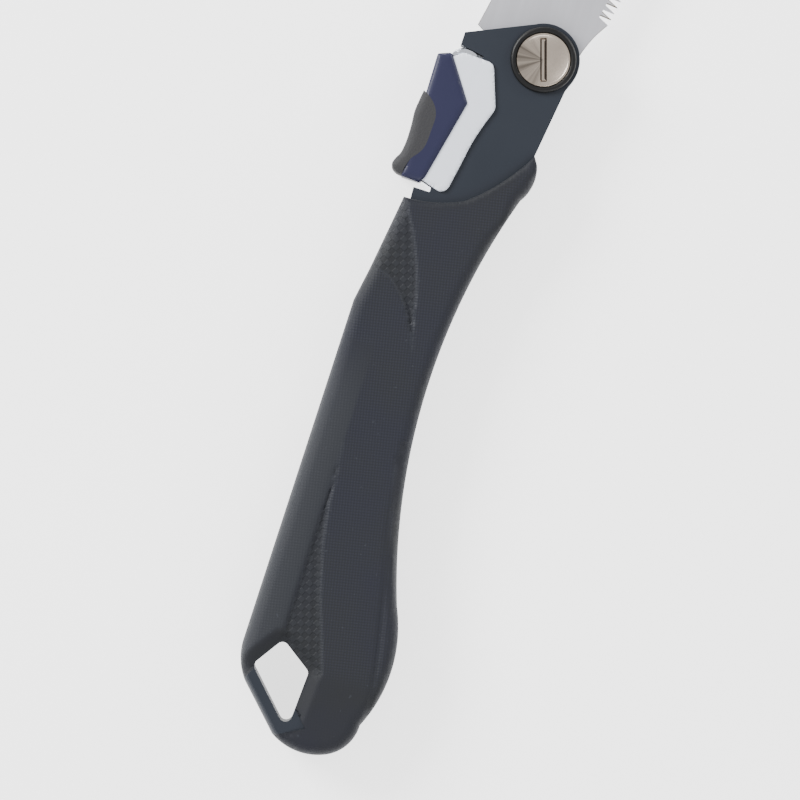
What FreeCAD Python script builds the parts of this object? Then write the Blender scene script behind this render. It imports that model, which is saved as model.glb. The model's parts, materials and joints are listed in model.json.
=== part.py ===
import FreeCAD, Part
import math
import os
import re
import Sketcher

# A folding pruning saw, lying on its side and shown open.  Everything is drawn about the blade's
# pivot: +X from the grip towards the blade, +Y towards the back of the grip, +Z through the
# thickness, with the blade's middle plane at z = 0.  The last step moves the whole saw so that
# the origin is the bottom centre of its bounding box.

SIZES = [
    # whole handle
    ("handle_reach", 271.3, "pivot to the butt"),
    ("grip_thick", 26.0, "thickness over the soft grip"),
    ("core_thick", 20.0, "thickness over the nylon core"),
    ("rubber_wall", 2.5, "soft grip's wall at the core's edges"),
    ("grip_round", 4.5, "rounding of the soft grip's rims"),
    ("back_y", 39.4, "straight back of the grip"),
    # soft grip outline, from the head end along the finger side
    ("lip_x", -37.7, ""), ("lip_y", -9.7, "where the finger side starts"),
    ("swell_x", -43.2, ""), ("swell_y", -10.8, "front swell"),
    ("neck_x", -51.8, ""), ("neck_y", -8.1, "end of the front swell"),
    ("waist_x", -125.6, ""), ("waist_y", 3.4, "top of the finger hollow"),
    ("palm_in", 61.7, ""), ("palm_y", -11.2, "end of the finger hollow, from the butt"),
    ("heel_in", 35.4, ""), ("heel_y", -16.3, "butt swell"),
    ("toe_in", 16.2, ""), ("toe_y", -11.5, "end of the butt swell"),
    ("low_mid_in", 7.0, ""), ("low_mid_y", -8.7, "lower butt corner, middle"),
    ("low_end_in", 1.9, ""), ("low_end_y", -2.5, "lower butt corner, end"),
    ("butt_y", 8.5, "furthest point of the butt"),
    ("top_start_in", 3.4, ""), ("top_start_y", 18.6, "start of the slanted butt edge"),
    ("slant_end_in", 19.0, ""), ("slant_end_y", 34.2, "end of the slanted butt edge"),
    ("slope_mid_in", 25.6, ""), ("slope_mid_y", 38.0, "turn into the straight back"),
    ("slope_end_in", 34.0, "start of the straight back, from the butt"),
    ("back_end_x", -106.0, "end of the straight back"),
    ("step_x", -93.0, ""), ("step_y", 37.3, "bend in the back"),
    ("saddle_x", -64.0, ""), ("saddle_y", 33.5, "soft grip's end behind the lever"),
    ("flank_x", -62.6, ""), ("flank_y", 22.0, "side boundary beside the lever"),
    ("bend_x", -58.6, ""), ("bend_y", 11.5, "turn of the side boundary"),
    ("sweep_x", -49.5, ""), ("sweep_y", 2.0, "side boundary towards the finger side"),
    ("tail_x", -35.0, ""), ("tail_y", -7.9, "side boundary's end"),
    # core outline round the head
    ("chin_x", -24.0, ""), ("chin_y", -9.2, "finger side of the head"),
    ("throat_x", -8.0, ""), ("throat_y", -11.3, "where the head's round end starts"),
    ("head_round", 13.5, "round end of the head about the pivot"),
    ("jaw_angle", -107.0, "start of the head's round, from +X"),
    ("jaw_mid_angle", -38.0, "middle of the head's round"),
    ("brow_angle", 31.0, "end of the head's round"),
    ("ear_x", 3.6, ""), ("ear_y", 24.7, "front of the head's ear"),
    ("ear_top_x", 0.8, ""), ("ear_top_y", 30.8, "top front of the ear"),
    ("ear_back_x", -4.0, "top rear of the ear"),
    ("claw_gap_x", -5.6, ""), ("claw_gap_y", 21.5, "floor of the gap for the claw"),
    ("claw_gap_end_x", -9.5, "rear of the claw gap's floor"),
    ("cheek_x", -12.5, ""), ("cheek_y", 29.5, "cheek's top edge under the lever"),
    ("cheek_end_x", -41.0, "rear end of the cheek's top edge"),
    ("seat_x", -43.5, "front end of the lever spring's seat"),
    ("shoulder_x", -59.5, ""), ("shoulder_y", 31.2, "shoulder behind the lever"),
    # blade, about its own axis
    ("blade_angle", 10.5, "droop of the open blade's axis below +X"),
    ("blade_thick", 1.4, "plate thickness"),
    ("blade_room", 41.5, "from the blade's tip to the butt, folded"),
    ("spine_side", 27.7, "pivot to the spine at the heel"),
    ("tooth_side", 14.9, "pivot to the tooth tips"),
    ("shoulder_u", 0.35, "spine's heel end along the blade"),
    ("spine_straight", 40.0, "straight stretch of the spine"),
    ("spine_mid_u", 135.0, ""), ("spine_mid_drop", 4.6, "middle of the spine's curve"),
    ("nose_back", 15.0, ""), ("nose_drop", 15.0, "spine's end, back from the tip"),
    ("nose_mid_back", 3.6, ""), ("nose_mid_drop", 22.6, "middle of the nose"),
    ("nose_end_drop", 34.0, "end of the nose's curve"),
    ("tooth_end_back", 2.4, "last tooth, back from the tip"),
    ("tooth_start", 22.9, "heel corner along the blade"),
    ("tooth_pitch", 2.5, "tooth to tooth"),
    ("tooth_depth", 4.3, "gullet depth"),
    ("tooth_land", 0.3, "flat left on a tooth tip"),
    ("gullet_width", 0.6, "width of the gullet's floor"),
    ("tooth_lean", 0.35, "lean of the teeth towards the handle"),
    ("tang_round", 11.6, "tang's round end about the pivot"),
    ("tang_land", 21.6, "tang's locking land about the pivot"),
    ("land_start", 94.7, "land's front end, degrees from the blade's axis"),
    ("notch_mouth", 106.3, "notch's sloped front wall meets the land"),
    ("notch_start", 111.0, ""), ("notch_end", 119.0, "lock notch's floor"),
    ("notch_round", 18.8, "notch's floor about the pivot"),
    ("lobe_end", 122.5, "end of the lobe behind the notch"),
    ("ramp_round", 15.0, ""), ("ramp_end", 127.5, "foot of the lobe's ramp"),
    ("tang_start", 165.0, "start of the round end"),
    ("tang_end", 287.0, "end of the round end"),
    ("heel_mid_u", 13.0, ""), ("heel_mid_drop", 11.7, "middle of the heel's edge"),
    # blade's room in the core
    ("slot_gap", 0.05, "play between the blade and each washer"),
    ("washer_thick", 0.75, "blade washer"),
    ("washer_outer", 11.0, "blade washer's outer radius"),
    ("lip_gap", 0.4, "soft grip's lip stands back from the slot"),
    ("tip_gap", 3.2, "beyond the folded blade's tip"),
    ("seat_gap", 5.6, "teeth to the web under the spring's seat"),
    ("seat_web", 4.5, "web under the spring's seat"),
    ("web_gap", 14.6, "heel teeth to the back web"),
    ("slot_end_x", -42.5, "rear end of the slot's open top"),
    ("seat_web_end_x", -66.0, ""), ("web_start_x", -70.0, "step from the seat web to the back web"),
    # pivot
    ("shank_round", 4.0, "pivot bolt's shank"),
    ("shank_gap", 0.05, "sleeve on the shank"),
    ("sleeve_round", 5.0, "sleeve's outer radius"),
    ("turn_gap", 0.05, "blade on the sleeve"),
    ("bolt_head_round", 10.0, "bolt head"),
    ("bolt_head_thick", 3.2, ""), ("dish_deep", 1.0, "dish in the bolt head"),
    ("rim_width", 0.8, "flat rim of the bolt head"),
    ("coin_slot_width", 2.3, ""), ("coin_slot_length", 16.0, ""), ("coin_slot_deep", 0.8, ""),
    ("coin_slot_angle", 18.0, "coin slot's turn from +X"),
    ("collar_round", 12.2, "collar's outer radius"),
    ("collar_gap", 0.2, "bolt head in the collar"),
    ("collar_sunk", 2.0, "collar's depth in the core"),
    ("collar_proud", 2.0, "collar's height over the core"),
    ("nut_across", 14.0, "nut across its flats"),
    ("nut_thick", 5.0, ""), ("nut_floor", 3.9, "cheek left under the nut"),
    ("spring_washer_thick", 1.1, ""), ("spring_washer_outer", 8.6, ""),
    # pins
    ("stop_x", 0.3, ""), ("stop_y", 24.2, ""), ("stop_round", 2.0, "stop pin"),
    ("stop_half", 8.0, "stop pin's half length"),
    ("dowel_round", 1.5, ""), ("dowel_half", 6.0, "dowel's half length"),
    ("dowel_fore_x", -100.0, ""), ("dowel_mid_x", -175.0, ""), ("dowel_back_y", 33.0, ""),
    ("dowel_butt_in", 21.3, ""), ("dowel_butt_y", 0.0, "dowel in the butt, from the butt"),
    # hanging hole, measured in from the butt
    ("hole_fore_in", 37.9, ""), ("hole_fore_y", 25.2, ""),
    ("hole_top_in", 25.6, ""), ("hole_top_y", 33.3, ""),
    ("hole_rear_in", 5.7, ""), ("hole_rear_y", 13.7, ""),
    ("hole_low_in", 29.3, ""), ("hole_low_y", 12.6, ""),
    ("hole_round", 2.5, "hole's corner radius"),
    ("strip_half", 12.2, "bare core strip's half thickness"),
    ("strip_fore_in", 31.1, ""), ("strip_fore_y", 29.1, ""),
    ("strip_top_in", 9.3, ""), ("strip_top_y", 39.8, ""),
    ("strip_rear_out", 2.2, ""), ("strip_rear_y", 27.0, ""),
    ("strip_low_in", 9.0, ""), ("strip_low_y", 7.5, ""),
    # thumb lever
    ("lever_x", -30.0, ""), ("lever_y", 25.0, "lever's pin"),
    ("lever_pin_round", 2.0, ""), ("lever_pin_gap", 0.05, "frame on its pin"),
    ("lever_side_gap", 0.3, "frame's cheeks beside the core"),
    ("frame_plate", 1.2, "frame's plate"),
    ("frame_top_y", 35.0, ""), ("frame_web", 2.0, "frame's bridge"),
    ("frame_rear_x", -58.6, ""), ("frame_rear_y", 22.4, ""),
    ("frame_heel_x", -56.6, ""), ("frame_heel_y", 18.6, ""),
    ("frame_low_x", -22.6, ""), ("frame_low_y", 10.7, ""),
    ("frame_nose_x", -6.9, ""), ("frame_nose_y", 17.2, ""),
    ("frame_front_x", -6.4, ""), ("frame_front_y", 28.0, ""),
    ("frame_crown_x", -11.0, ""), ("frame_back_x", -54.0, ""),
    ("frame_round", 1.8, "frame's corner radius"),
    ("cover_plate", 1.1, "cover over the frame's cheeks"),
    ("cover_front_x", -9.8, ""), ("cover_front_y", 37.9, ""),
    ("cover_nose_x", -7.8, ""), ("cover_nose_y", 33.0, ""),
    ("cover_low_x", -24.0, ""), ("cover_low_y", 21.6, ""),
    ("cover_rear_x", -57.1, ""), ("cover_rear_y", 28.6, ""),
    ("cover_top_x", -57.1, ""), ("cover_top_y", 36.9, ""),
    ("cover_round", 1.2, "cover's corner radius"),
    ("pad_rear_x", -57.1, ""), ("pad_rear_y", 36.6, ""),
    ("pad_peak_x", -53.9, ""), ("pad_peak_y", 41.6, ""),
    ("pad_end_x", -48.7, ""), ("pad_end_y", 39.6, ""),
    ("pad_mid_x", -37.0, ""), ("pad_mid_y", 39.0, ""),
    ("pad_front_x", -24.2, ""), ("pad_front_y", 38.8, ""),
    ("pad_low_x", -34.5, ""), ("pad_low_y", 31.3, ""),
    ("pad_foot_x", -50.1, ""), ("pad_foot_y", 35.7, ""),
    ("claw_half", 1.3, "claw's half thickness"),
    ("claw_gap", 0.3, "claw in the cover"),
    ("claw_tip_round", 19.15, "claw's tip about the pivot"),
    ("claw_tip_half", 1.05, "claw tip's half width"),
    ("claw_neck_round", 23.5, "top of the claw's straight tip"),
    ("claw_front_x", -4.5, ""), ("claw_front_y", 27.5, ""),
    ("claw_brow_x", -5.2, ""), ("claw_brow_y", 30.3, ""),
    ("claw_back_x", -12.0, ""), ("claw_back_y", 28.0, ""),
    ("claw_heel_x", -14.0, "rear end of the claw's top edge"),
    ("flange_thick", 1.5, "claw's flange under the frame's bridge"),
    ("flange_front_x", -10.5, ""), ("flange_rear_x", -23.0, ""), ("flange_half", 6.0, ""),
    ("rivet_round", 1.2, ""), ("rivet_half_span", 3.6, "rivets each side of the claw"),
    ("rivet_x", -16.5, ""),
    ("spring_x", -48.0, ""), ("spring_round", 2.6, "lever spring's mean radius"),
    ("spring_wire", 0.45, "wire radius"), ("spring_half_turns", 9, "half turns of its coil"),
]

doc = FreeCAD.newDocument("folding_pruning_saw")
sheet = doc.addObject("Spreadsheet::Sheet", "Sizes")
ALIASES = [alias for alias, _, _ in SIZES]
for row, (alias, value, note) in enumerate(SIZES, start=1):
    sheet.set(f"A{row}", note or alias.replace("_", " "))
    sheet.set(f"B{row}", str(value))
    sheet.setAlias(f"B{row}", alias)
doc.recompute()

# sums that several pieces share, written once over the sheet's cells
CORE_HALF = "core_thick / 2"
SLOT_HALF = "(blade_thick / 2 + slot_gap + washer_thick)"
BLADE_REACH = "(handle_reach - blade_room)"
SEAT_TOP = "(tooth_side + seat_gap + seat_web)"
FRAME_INNER = "(core_thick / 2 + lever_side_gap)"
FRAME_OUTER = "(core_thick / 2 + lever_side_gap + frame_plate)"
COVER_OUTER = "(core_thick / 2 + lever_side_gap + frame_plate + cover_plate)"
BRIDGE_UNDER = "(frame_top_y - frame_web)"
COLLAR_FLOOR = "(core_thick / 2 - collar_sunk)"
COLLAR_INNER = "(bolt_head_round + collar_gap)"
NUT_FLOOR = f"({SLOT_HALF} + nut_floor)"
CLAW_ANGLE = "((notch_start + notch_end) / 2 - blade_angle)"
THROUGH = "grip_thick * 2"
ASIDE = "handle_reach"


def cells(text):
    """A sum over sheet aliases as a FreeCAD expression."""
    return re.sub(r"[a-z][a-z_]+", lambda m: f"Sizes.{m[0]}" if m[0] in ALIASES else m[0], text)


def bind(obj, **sums):
    """Bind properties of an object to sums over the sheet."""
    for name, text in sums.items():
        obj.setExpression(name.replace("__", "."), cells(text))


def polar(radius, angle, dx="0", dy="0"):
    """A point at a radius and an angle in degrees, as a pair of sums."""
    return f"{radius} * cos({angle} * 1deg) + {dx}", f"{radius} * sin({angle} * 1deg) + {dy}"


def pt(name, dx="0", dy="0"):
    """The sheet's point of that name."""
    return f"{name}_x + {dx}", f"{name}_y + {dy}"


def butt_pt(name, dx="0", dy="0"):
    """A point of the sheet whose x is measured in from the butt."""
    return f"{name}_in - handle_reach + {dx}", f"{name}_y + {dy}"


class Outline:
    """A closed outline of lines and three-point arcs, each corner held by sheet sums."""

    def __init__(self, sketch):
        self.sketch = sketch
        self.edges = []
        self.corner = None
        self.first = None

    def value(self, text):
        number = self.sketch.evalExpression(cells(text))
        return float(getattr(number, "Value", number))

    def place(self, point):
        return FreeCAD.Vector(self.value(point[0]), self.value(point[1]), 0)

    def hold(self, geometry, end, point):
        """Tie a vertex to its two sums."""
        for kind, text in (("DistanceX", point[0]), ("DistanceY", point[1])):
            rule = Sketcher.Constraint(kind, -1, 1, geometry, end, self.value(text))
            index = self.sketch.addConstraint(rule)
            self.sketch.setExpression(f"Constraints[{index}]", cells(text))

    def start(self, point):
        self.corner = self.first = point
        return self

    def join(self, geometry, flipped, point):
        """Chain an edge on to the one before and hold its far end."""
        near, far = (2, 1) if flipped else (1, 2)
        if self.edges:
            last, last_far = self.edges[-1]
            rule = Sketcher.Constraint("Coincident", last, last_far, geometry, near)
            self.sketch.addConstraint(rule)
        if point is self.first:
            first, first_near = self.opening
            rule = Sketcher.Constraint("Coincident", geometry, far, first, first_near)
            self.sketch.addConstraint(rule)
            self.hold(geometry, far, point)
        else:
            self.hold(geometry, far, point)
        if not self.edges:
            self.opening = (geometry, near)
        self.edges.append((geometry, far))
        self.corner = point
        return self

    def line(self, point):
        edge = Part.LineSegment(self.place(self.corner), self.place(point))
        return self.join(self.sketch.addGeometry(edge, False), False, point)

    def arc(self, middle, point):
        ends = [self.place(p) for p in (self.corner, middle, point)]
        circle = Part.Arc(*ends).toShape().Curve
        centre = circle.Center
        turns = [math.atan2(p.y - centre.y, p.x - centre.x) for p in ends]
        sweep = (turns[2] - turns[0]) % math.tau
        flipped = (turns[1] - turns[0]) % math.tau > sweep
        start, end = (turns[2], turns[0]) if flipped else (turns[0], turns[2])
        round_ = Part.Circle(centre, FreeCAD.Vector(0, 0, 1), circle.Radius)
        geometry = self.sketch.addGeometry(Part.ArcOfCircle(round_, start, end), False)
        mark = self.sketch.addGeometry(Part.Point(ends[1]), True)
        self.join(geometry, flipped, point)
        self.hold(mark, 1, middle)
        self.sketch.addConstraint(Sketcher.Constraint("PointOnObject", mark, 1, geometry))
        return self

    def close(self):
        return self.line(self.first)

    def polygon(self, points):
        self.start(points[0])
        for point in points[1:]:
            self.line(point)
        return self.close()


def plane(body, role):
    return next(item for item in body.Origin.OriginFeatures if item.Role == role)


def sketch_on(body, role, name):
    sketch = body.newObject("Sketcher::SketchObject", name)
    sketch.AttachmentSupport = [(plane(body, role), "")]
    sketch.MapMode = "FlatFace"
    return sketch


def new_body(name):
    body = doc.addObject("PartDesign::Body", name)
    body.Label = name
    return body


def pad(body, sketch, thick, name):
    """Pad a sketch to both sides of its plane."""
    feature = body.newObject("PartDesign::Pad", name)
    feature.Profile = sketch
    feature.SideType = "Symmetric"
    bind(feature, Length=thick)
    body.Tip = feature
    doc.recompute()
    return feature


def slab(name, draw, thick):
    """A body that is one outline padded about the blade's plane."""
    body = new_body(name)
    sketch = sketch_on(body, "XY_Plane", f"{name}_outline")
    draw(Outline(sketch))
    pad(body, sketch, thick, f"{name}_pad")
    return body


def polygon_slab(name, points, thick):
    return slab(name, lambda outline: outline.polygon(points), thick)


def round_edges(body, radius, wanted):
    """Fillet the edges of a body's tip that pass a test."""
    base = body.Tip
    names = [f"Edge{i}" for i, edge in enumerate(base.Shape.Edges, start=1) if wanted(edge)]
    feature = body.newObject("PartDesign::Fillet", f"{body.Name}_round")
    feature.Base = (base, names)
    bind(feature, Radius=radius)
    body.Tip = feature
    doc.recompute()
    return body


def upright(edge):
    box = edge.BoundBox
    return box.ZLength > 1 and box.XLength < 1e-6 and box.YLength < 1e-6


def handle_rim(edge):
    """The grip's rims behind the lever."""
    return edge.BoundBox.ZLength < 1e-6 and edge.CenterOfMass.x < float(sheet.get("saddle_x"))


def cylinder(name, radius, low, high, x="0", y="0"):
    """A rod along Z between two heights."""
    rod = doc.addObject("Part::Cylinder", name)
    rod.Label = name
    bind(rod, Radius=radius, Height=f"({high}) - ({low})", Placement__Base__x=x,
         Placement__Base__y=y, Placement__Base__z=low)
    return rod


def block(name, x, y, z):
    """A box between two places along each axis."""
    box = doc.addObject("Part::Box", name)
    box.Label = name
    bind(box, Length=f"({x[1]}) - ({x[0]})", Width=f"({y[1]}) - ({y[0]})",
         Height=f"({z[1]}) - ({z[0]})", Placement__Base__x=x[0], Placement__Base__y=y[0],
         Placement__Base__z=z[0])
    return box


def fuse(name, shapes):
    whole = doc.addObject("Part::MultiFuse", name)
    whole.Shapes = shapes
    whole.Label = name
    doc.recompute()
    return whole


def common(name, shapes):
    shared = doc.addObject("Part::MultiCommon", name)
    shared.Shapes = shapes
    shared.Label = name
    doc.recompute()
    return shared


def cut(name, base, tool):
    rest = doc.addObject("Part::Cut", name)
    rest.Base = base
    rest.Tool = tool
    rest.Label = name
    doc.recompute()
    return rest


def ring(name, outer, inner, low, high):
    """A tube about the pivot between two heights."""
    shell = cylinder(f"{name}_outer", outer, low, high)
    bore = cylinder(f"{name}_bore", inner, low, high)
    return cut(name, shell, bore)


def grip_outline(outline):
    """The soft grip's outline: finger side, butt, back, then the boundary round the head."""
    outline.start(pt("lip"))
    outline.arc(pt("swell"), pt("neck"))
    outline.arc(pt("waist"), butt_pt("palm"))
    outline.arc(butt_pt("heel"), butt_pt("toe"))
    outline.arc(butt_pt("low_mid"), butt_pt("low_end"))
    outline.arc(("0 - handle_reach", "butt_y"), butt_pt("top_start"))
    outline.line(butt_pt("slant_end"))
    outline.arc(butt_pt("slope_mid"), ("slope_end_in - handle_reach", "back_y"))
    outline.line(("back_end_x", "back_y"))
    outline.line(pt("step"))
    outline.line(pt("saddle"))
    outline.arc(pt("flank"), pt("bend"))
    outline.arc(pt("sweep"), pt("tail"))
    outline.close()


def core_outline(outline):
    """The core's outline: the bare head, then the soft grip's outline less its wall."""
    wall, less = "rubber_wall", "0 - rubber_wall"
    outline.start(pt("tail"))
    outline.arc(pt("chin"), pt("throat"))
    outline.line(polar("head_round", "jaw_angle"))
    outline.arc(polar("head_round", "jaw_mid_angle"), polar("head_round", "brow_angle"))
    outline.line(pt("ear"))
    outline.line(pt("ear_top"))
    outline.line(("ear_back_x", "ear_top_y"))
    outline.line(pt("claw_gap"))
    outline.line(("claw_gap_end_x", "claw_gap_y"))
    outline.line(pt("cheek"))
    outline.line(("cheek_end_x", "cheek_y"))
    outline.line(("seat_x", SEAT_TOP))
    outline.line(("shoulder_x", SEAT_TOP))
    outline.line(pt("shoulder"))
    outline.line(pt("saddle", dy=less))
    outline.line(pt("step", dy=less))
    outline.line(("back_end_x", "back_y - rubber_wall"))
    outline.line(("slope_end_in - handle_reach", "back_y - rubber_wall"))
    outline.arc(butt_pt("slope_mid", wall, less), butt_pt("slant_end", wall, less))
    outline.line(butt_pt("top_start", wall))
    outline.arc(("rubber_wall - handle_reach", "butt_y"), butt_pt("low_end", wall))
    outline.arc(butt_pt("low_mid", wall, wall), butt_pt("toe", "0", wall))
    outline.arc(butt_pt("heel", "0", wall), butt_pt("palm", "0", wall))
    outline.arc(pt("waist", dy=wall), pt("neck", dy=wall))
    outline.arc(pt("swell", dy=wall), pt("lip", dy=wall))
    outline.close()


def slot_points():
    """The blade's room: open at the head and the finger side, closed by the webs and the butt."""
    end = f"0 - {BLADE_REACH} - tip_gap"
    under_seat, under_back = "tooth_side + seat_gap", "tooth_side + web_gap"
    return [
        (ASIDE, f"0 - {ASIDE}"),
        (ASIDE, ASIDE),
        ("slot_end_x", ASIDE),
        ("slot_end_x", under_seat),
        ("seat_web_end_x", under_seat),
        ("web_start_x", under_back),
        (end, under_back),
        (end, f"0 - {ASIDE}"),
    ]


def hole_tool():
    """The hanging hole's prism, with rounded corners."""
    corners = [butt_pt(f"hole_{side}") for side in ("fore", "top", "rear", "low")]
    return round_edges(polygon_slab("hanging_hole", corners, THROUGH), "hole_round", upright)


def strip_prism(name, thick):
    """The region beside the hanging hole that the soft grip leaves bare."""
    corners = [
        butt_pt("strip_fore"),
        butt_pt("strip_top"),
        ("0 - strip_rear_out - handle_reach", "strip_rear_y"),
        butt_pt("strip_low"),
    ]
    return polygon_slab(name, corners, thick)


def pin_bores(name):
    """Bores for the stop pin, the dowels and the lever's pin, through both shells."""
    stop = cylinder(f"{name}_stop", "stop_round", "0 - stop_half", "stop_half", "stop_x", "stop_y")
    lever = cylinder(f"{name}_lever", "lever_pin_round", "0 - core_thick", "core_thick", "lever_x",
                     "lever_y")
    return [stop, lever] + dowel_rods(f"{name}_dowel")


def dowel_rods(name):
    places = [
        ("dowel_fore_x", "dowel_back_y"),
        ("dowel_mid_x", "dowel_back_y"),
        ("dowel_butt_in - handle_reach", "dowel_butt_y"),
    ]
    return [
        cylinder(f"{name}_{i}", "dowel_round", "0 - dowel_half", "dowel_half", x, y)
        for i, (x, y) in enumerate(places, start=1)
    ]


def shells(core, hole):
    """The two half shells, each with its counterbores for the collar and the bolt or nut."""
    slot = polygon_slab("blade_slot", slot_points(), f"{SLOT_HALF} * 2")
    bores = pin_bores("bore")
    sleeve = cylinder("bore_sleeve", "sleeve_round", "0 - core_thick", "core_thick")
    collars = [
        cylinder("bore_collar", "collar_round", COLLAR_FLOOR, "core_thick"),
        cylinder("bore_nut_collar", "collar_round", "0 - core_thick", f"0 - {COLLAR_FLOOR}"),
    ]
    nut = cylinder("bore_nut", COLLAR_INNER, "0 - core_thick", f"0 - {NUT_FLOOR}")
    tools = fuse("shell_tools", [slot, hole, sleeve, nut] + collars + bores)
    hollowed = cut("core_hollowed", core, tools)
    x, y = ("0 - handle_reach * 2", "handle_reach"), ("0 - handle_reach", "handle_reach")
    front_side = block("front_side", x, y, ("0", "grip_thick"))
    back_side = block("back_side", x, y, ("0 - grip_thick", "0"))
    return [
        common("front_shell", [hollowed, front_side]),
        common("back_shell", [hollowed, back_side]),
    ]


def grip_overmould(grip, core, hole):
    """The soft grip: outline less the core, the hole, the bare strip and the blade slot's lips."""
    lips = polygon_slab("grip_lips", slot_points(), f"({SLOT_HALF} + lip_gap) * 2")
    tools = fuse("grip_tools", [core, hole, lips, strip_prism("strip_clear", THROUGH)])
    return cut("grip_overmould", grip, tools)


def blade_outline(outline):
    """The plate from the shoulder along the spine, the nose, the tooth tips and the tang."""
    reach = BLADE_REACH
    outline.start(("shoulder_u", "spine_side"))
    outline.line(("spine_straight", "spine_side"))
    outline.arc(("spine_mid_u", "spine_side - spine_mid_drop"),
                (f"{reach} - nose_back", "spine_side - nose_drop"))
    outline.arc((f"{reach} - nose_mid_back", "spine_side - nose_mid_drop"),
                (reach, "spine_side - nose_end_drop"))
    outline.line((f"{reach} - tooth_end_back", "0 - tooth_side"))
    outline.line(("tooth_start", "0 - tooth_side"))
    outline.arc(("heel_mid_u", "0 - heel_mid_drop"), polar("tang_round", "tang_end"))
    outline.arc(polar("tang_round", "(tang_start + tang_end) / 2"),
                polar("tang_round", "tang_start"))
    outline.line(polar("ramp_round", "ramp_end"))
    outline.line(polar("tang_land", "lobe_end"))
    outline.line(polar("tang_land", "notch_end"))
    outline.line(polar("notch_round", "notch_end"))
    outline.line(polar("notch_round", "notch_start"))
    outline.line(polar("tang_land", "notch_mouth"))
    outline.arc(polar("tang_land", "(land_start + notch_mouth) / 2"),
                polar("tang_land", "land_start"))
    outline.close()


def pocket(body, sketch, name):
    """Cut a sketch through a body to both sides."""
    feature = body.newObject("PartDesign::Pocket", name)
    feature.Profile = sketch
    feature.SideType = "Symmetric"
    bind(feature, Length=THROUGH)
    body.Tip = feature
    doc.recompute()
    return feature


def blade():
    """The blade: plate, pivot bore and a row of gullets that leaves leaning teeth."""
    body = slab("blade", blade_outline, "blade_thick")
    bore = sketch_on(body, "XY_Plane", "blade_bore")
    size = float(sheet.get("sleeve_round"))
    circle = bore.addGeometry(Part.Circle(FreeCAD.Vector(), FreeCAD.Vector(0, 0, 1), size), False)
    bore.addConstraint(Sketcher.Constraint("Coincident", circle, 3, -1, 1))
    radius = bore.addConstraint(Sketcher.Constraint("Radius", circle, size))
    bind(bore, **{f"Constraints[{radius}]": "sleeve_round + turn_gap"})
    pocket(body, bore, "blade_bore_cut")
    gullet = sketch_on(body, "XY_Plane", "gullet")
    middle = "tooth_start + tooth_pitch / 2 + tooth_lean"
    tip, floor = "0 - tooth_side", "0 - tooth_side + tooth_depth"
    below = "0 - tooth_side - tooth_depth"
    Outline(gullet).polygon([
        ("tooth_start + tooth_land / 2", tip),
        (f"{middle} - gullet_width / 2", floor),
        (f"{middle} + gullet_width / 2", floor),
        ("tooth_start + tooth_pitch - tooth_land / 2", tip),
        ("tooth_start + tooth_pitch - tooth_land / 2", below),
        ("tooth_start + tooth_land / 2", below),
    ])
    first = pocket(body, gullet, "gullet_cut")
    row = body.newObject("PartDesign::LinearPattern", "gullet_row")
    row.Originals = [first]
    row.Direction = (gullet, ["H_Axis"])
    teeth = f"floor(({BLADE_REACH} - tooth_end_back - tooth_start) / tooth_pitch)"
    bind(row, Occurrences=teeth, Length=f"({teeth} - 1) * tooth_pitch")
    body.Tip = row
    bind(body, Placement__Rotation__Angle="0 - blade_angle")
    return body


def pivot_bolt():
    """A coin-slot bolt: shank and dished head, turned about Z, with the slot cut across."""
    body = new_body("pivot_bolt")
    profile = sketch_on(body, "XZ_Plane", "pivot_bolt_profile")
    top = f"{COLLAR_FLOOR} + bolt_head_thick"
    end = f"0 - {NUT_FLOOR} - spring_washer_thick - nut_thick"
    Outline(profile).polygon([
        ("0", end),
        ("shank_round", end),
        ("shank_round", COLLAR_FLOOR),
        ("bolt_head_round", COLLAR_FLOOR),
        ("bolt_head_round", top),
        ("bolt_head_round - rim_width", top),
        ("0", f"{top} - dish_deep"),
    ])
    turned = body.newObject("PartDesign::Revolution", "pivot_bolt_turned")
    turned.Profile = profile
    turned.ReferenceAxis = (profile, ["V_Axis"])
    turned.Angle = 360
    body.Tip = turned
    doc.recompute()
    slot = block("coin_slot", ("0 - coin_slot_length / 2", "coin_slot_length / 2"),
                 ("0 - coin_slot_width / 2", "coin_slot_width / 2"),
                 (f"{top} - dish_deep - coin_slot_deep", f"{top} + coin_slot_deep"))
    turn = "coin_slot_angle"
    bind(slot, Placement__Rotation__Angle=turn,
         Placement__Base__x=f"coin_slot_width / 2 * sin({turn} * 1deg)"
                            f" - coin_slot_length / 2 * cos({turn} * 1deg)",
         Placement__Base__y=f"0 - coin_slot_length / 2 * sin({turn} * 1deg)"
                            f" - coin_slot_width / 2 * cos({turn} * 1deg)")
    body.Label = "pivot_bolt_blank"
    return cut("pivot_bolt", body, slot)


def pivot_nut():
    """A hexagon nut on the bolt's end."""
    hexagon = doc.addObject("Part::Prism", "nut_hexagon")
    hexagon.Polygon = 6
    low = f"0 - {NUT_FLOOR} - spring_washer_thick - nut_thick"
    high = f"0 - {NUT_FLOOR} - spring_washer_thick"
    bind(hexagon, Circumradius="nut_across / 2 / cos(30deg)", Height="nut_thick",
         Placement__Base__z=low)
    return cut("pivot_nut", hexagon, cylinder("nut_bore", "shank_round", low, high))


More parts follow.
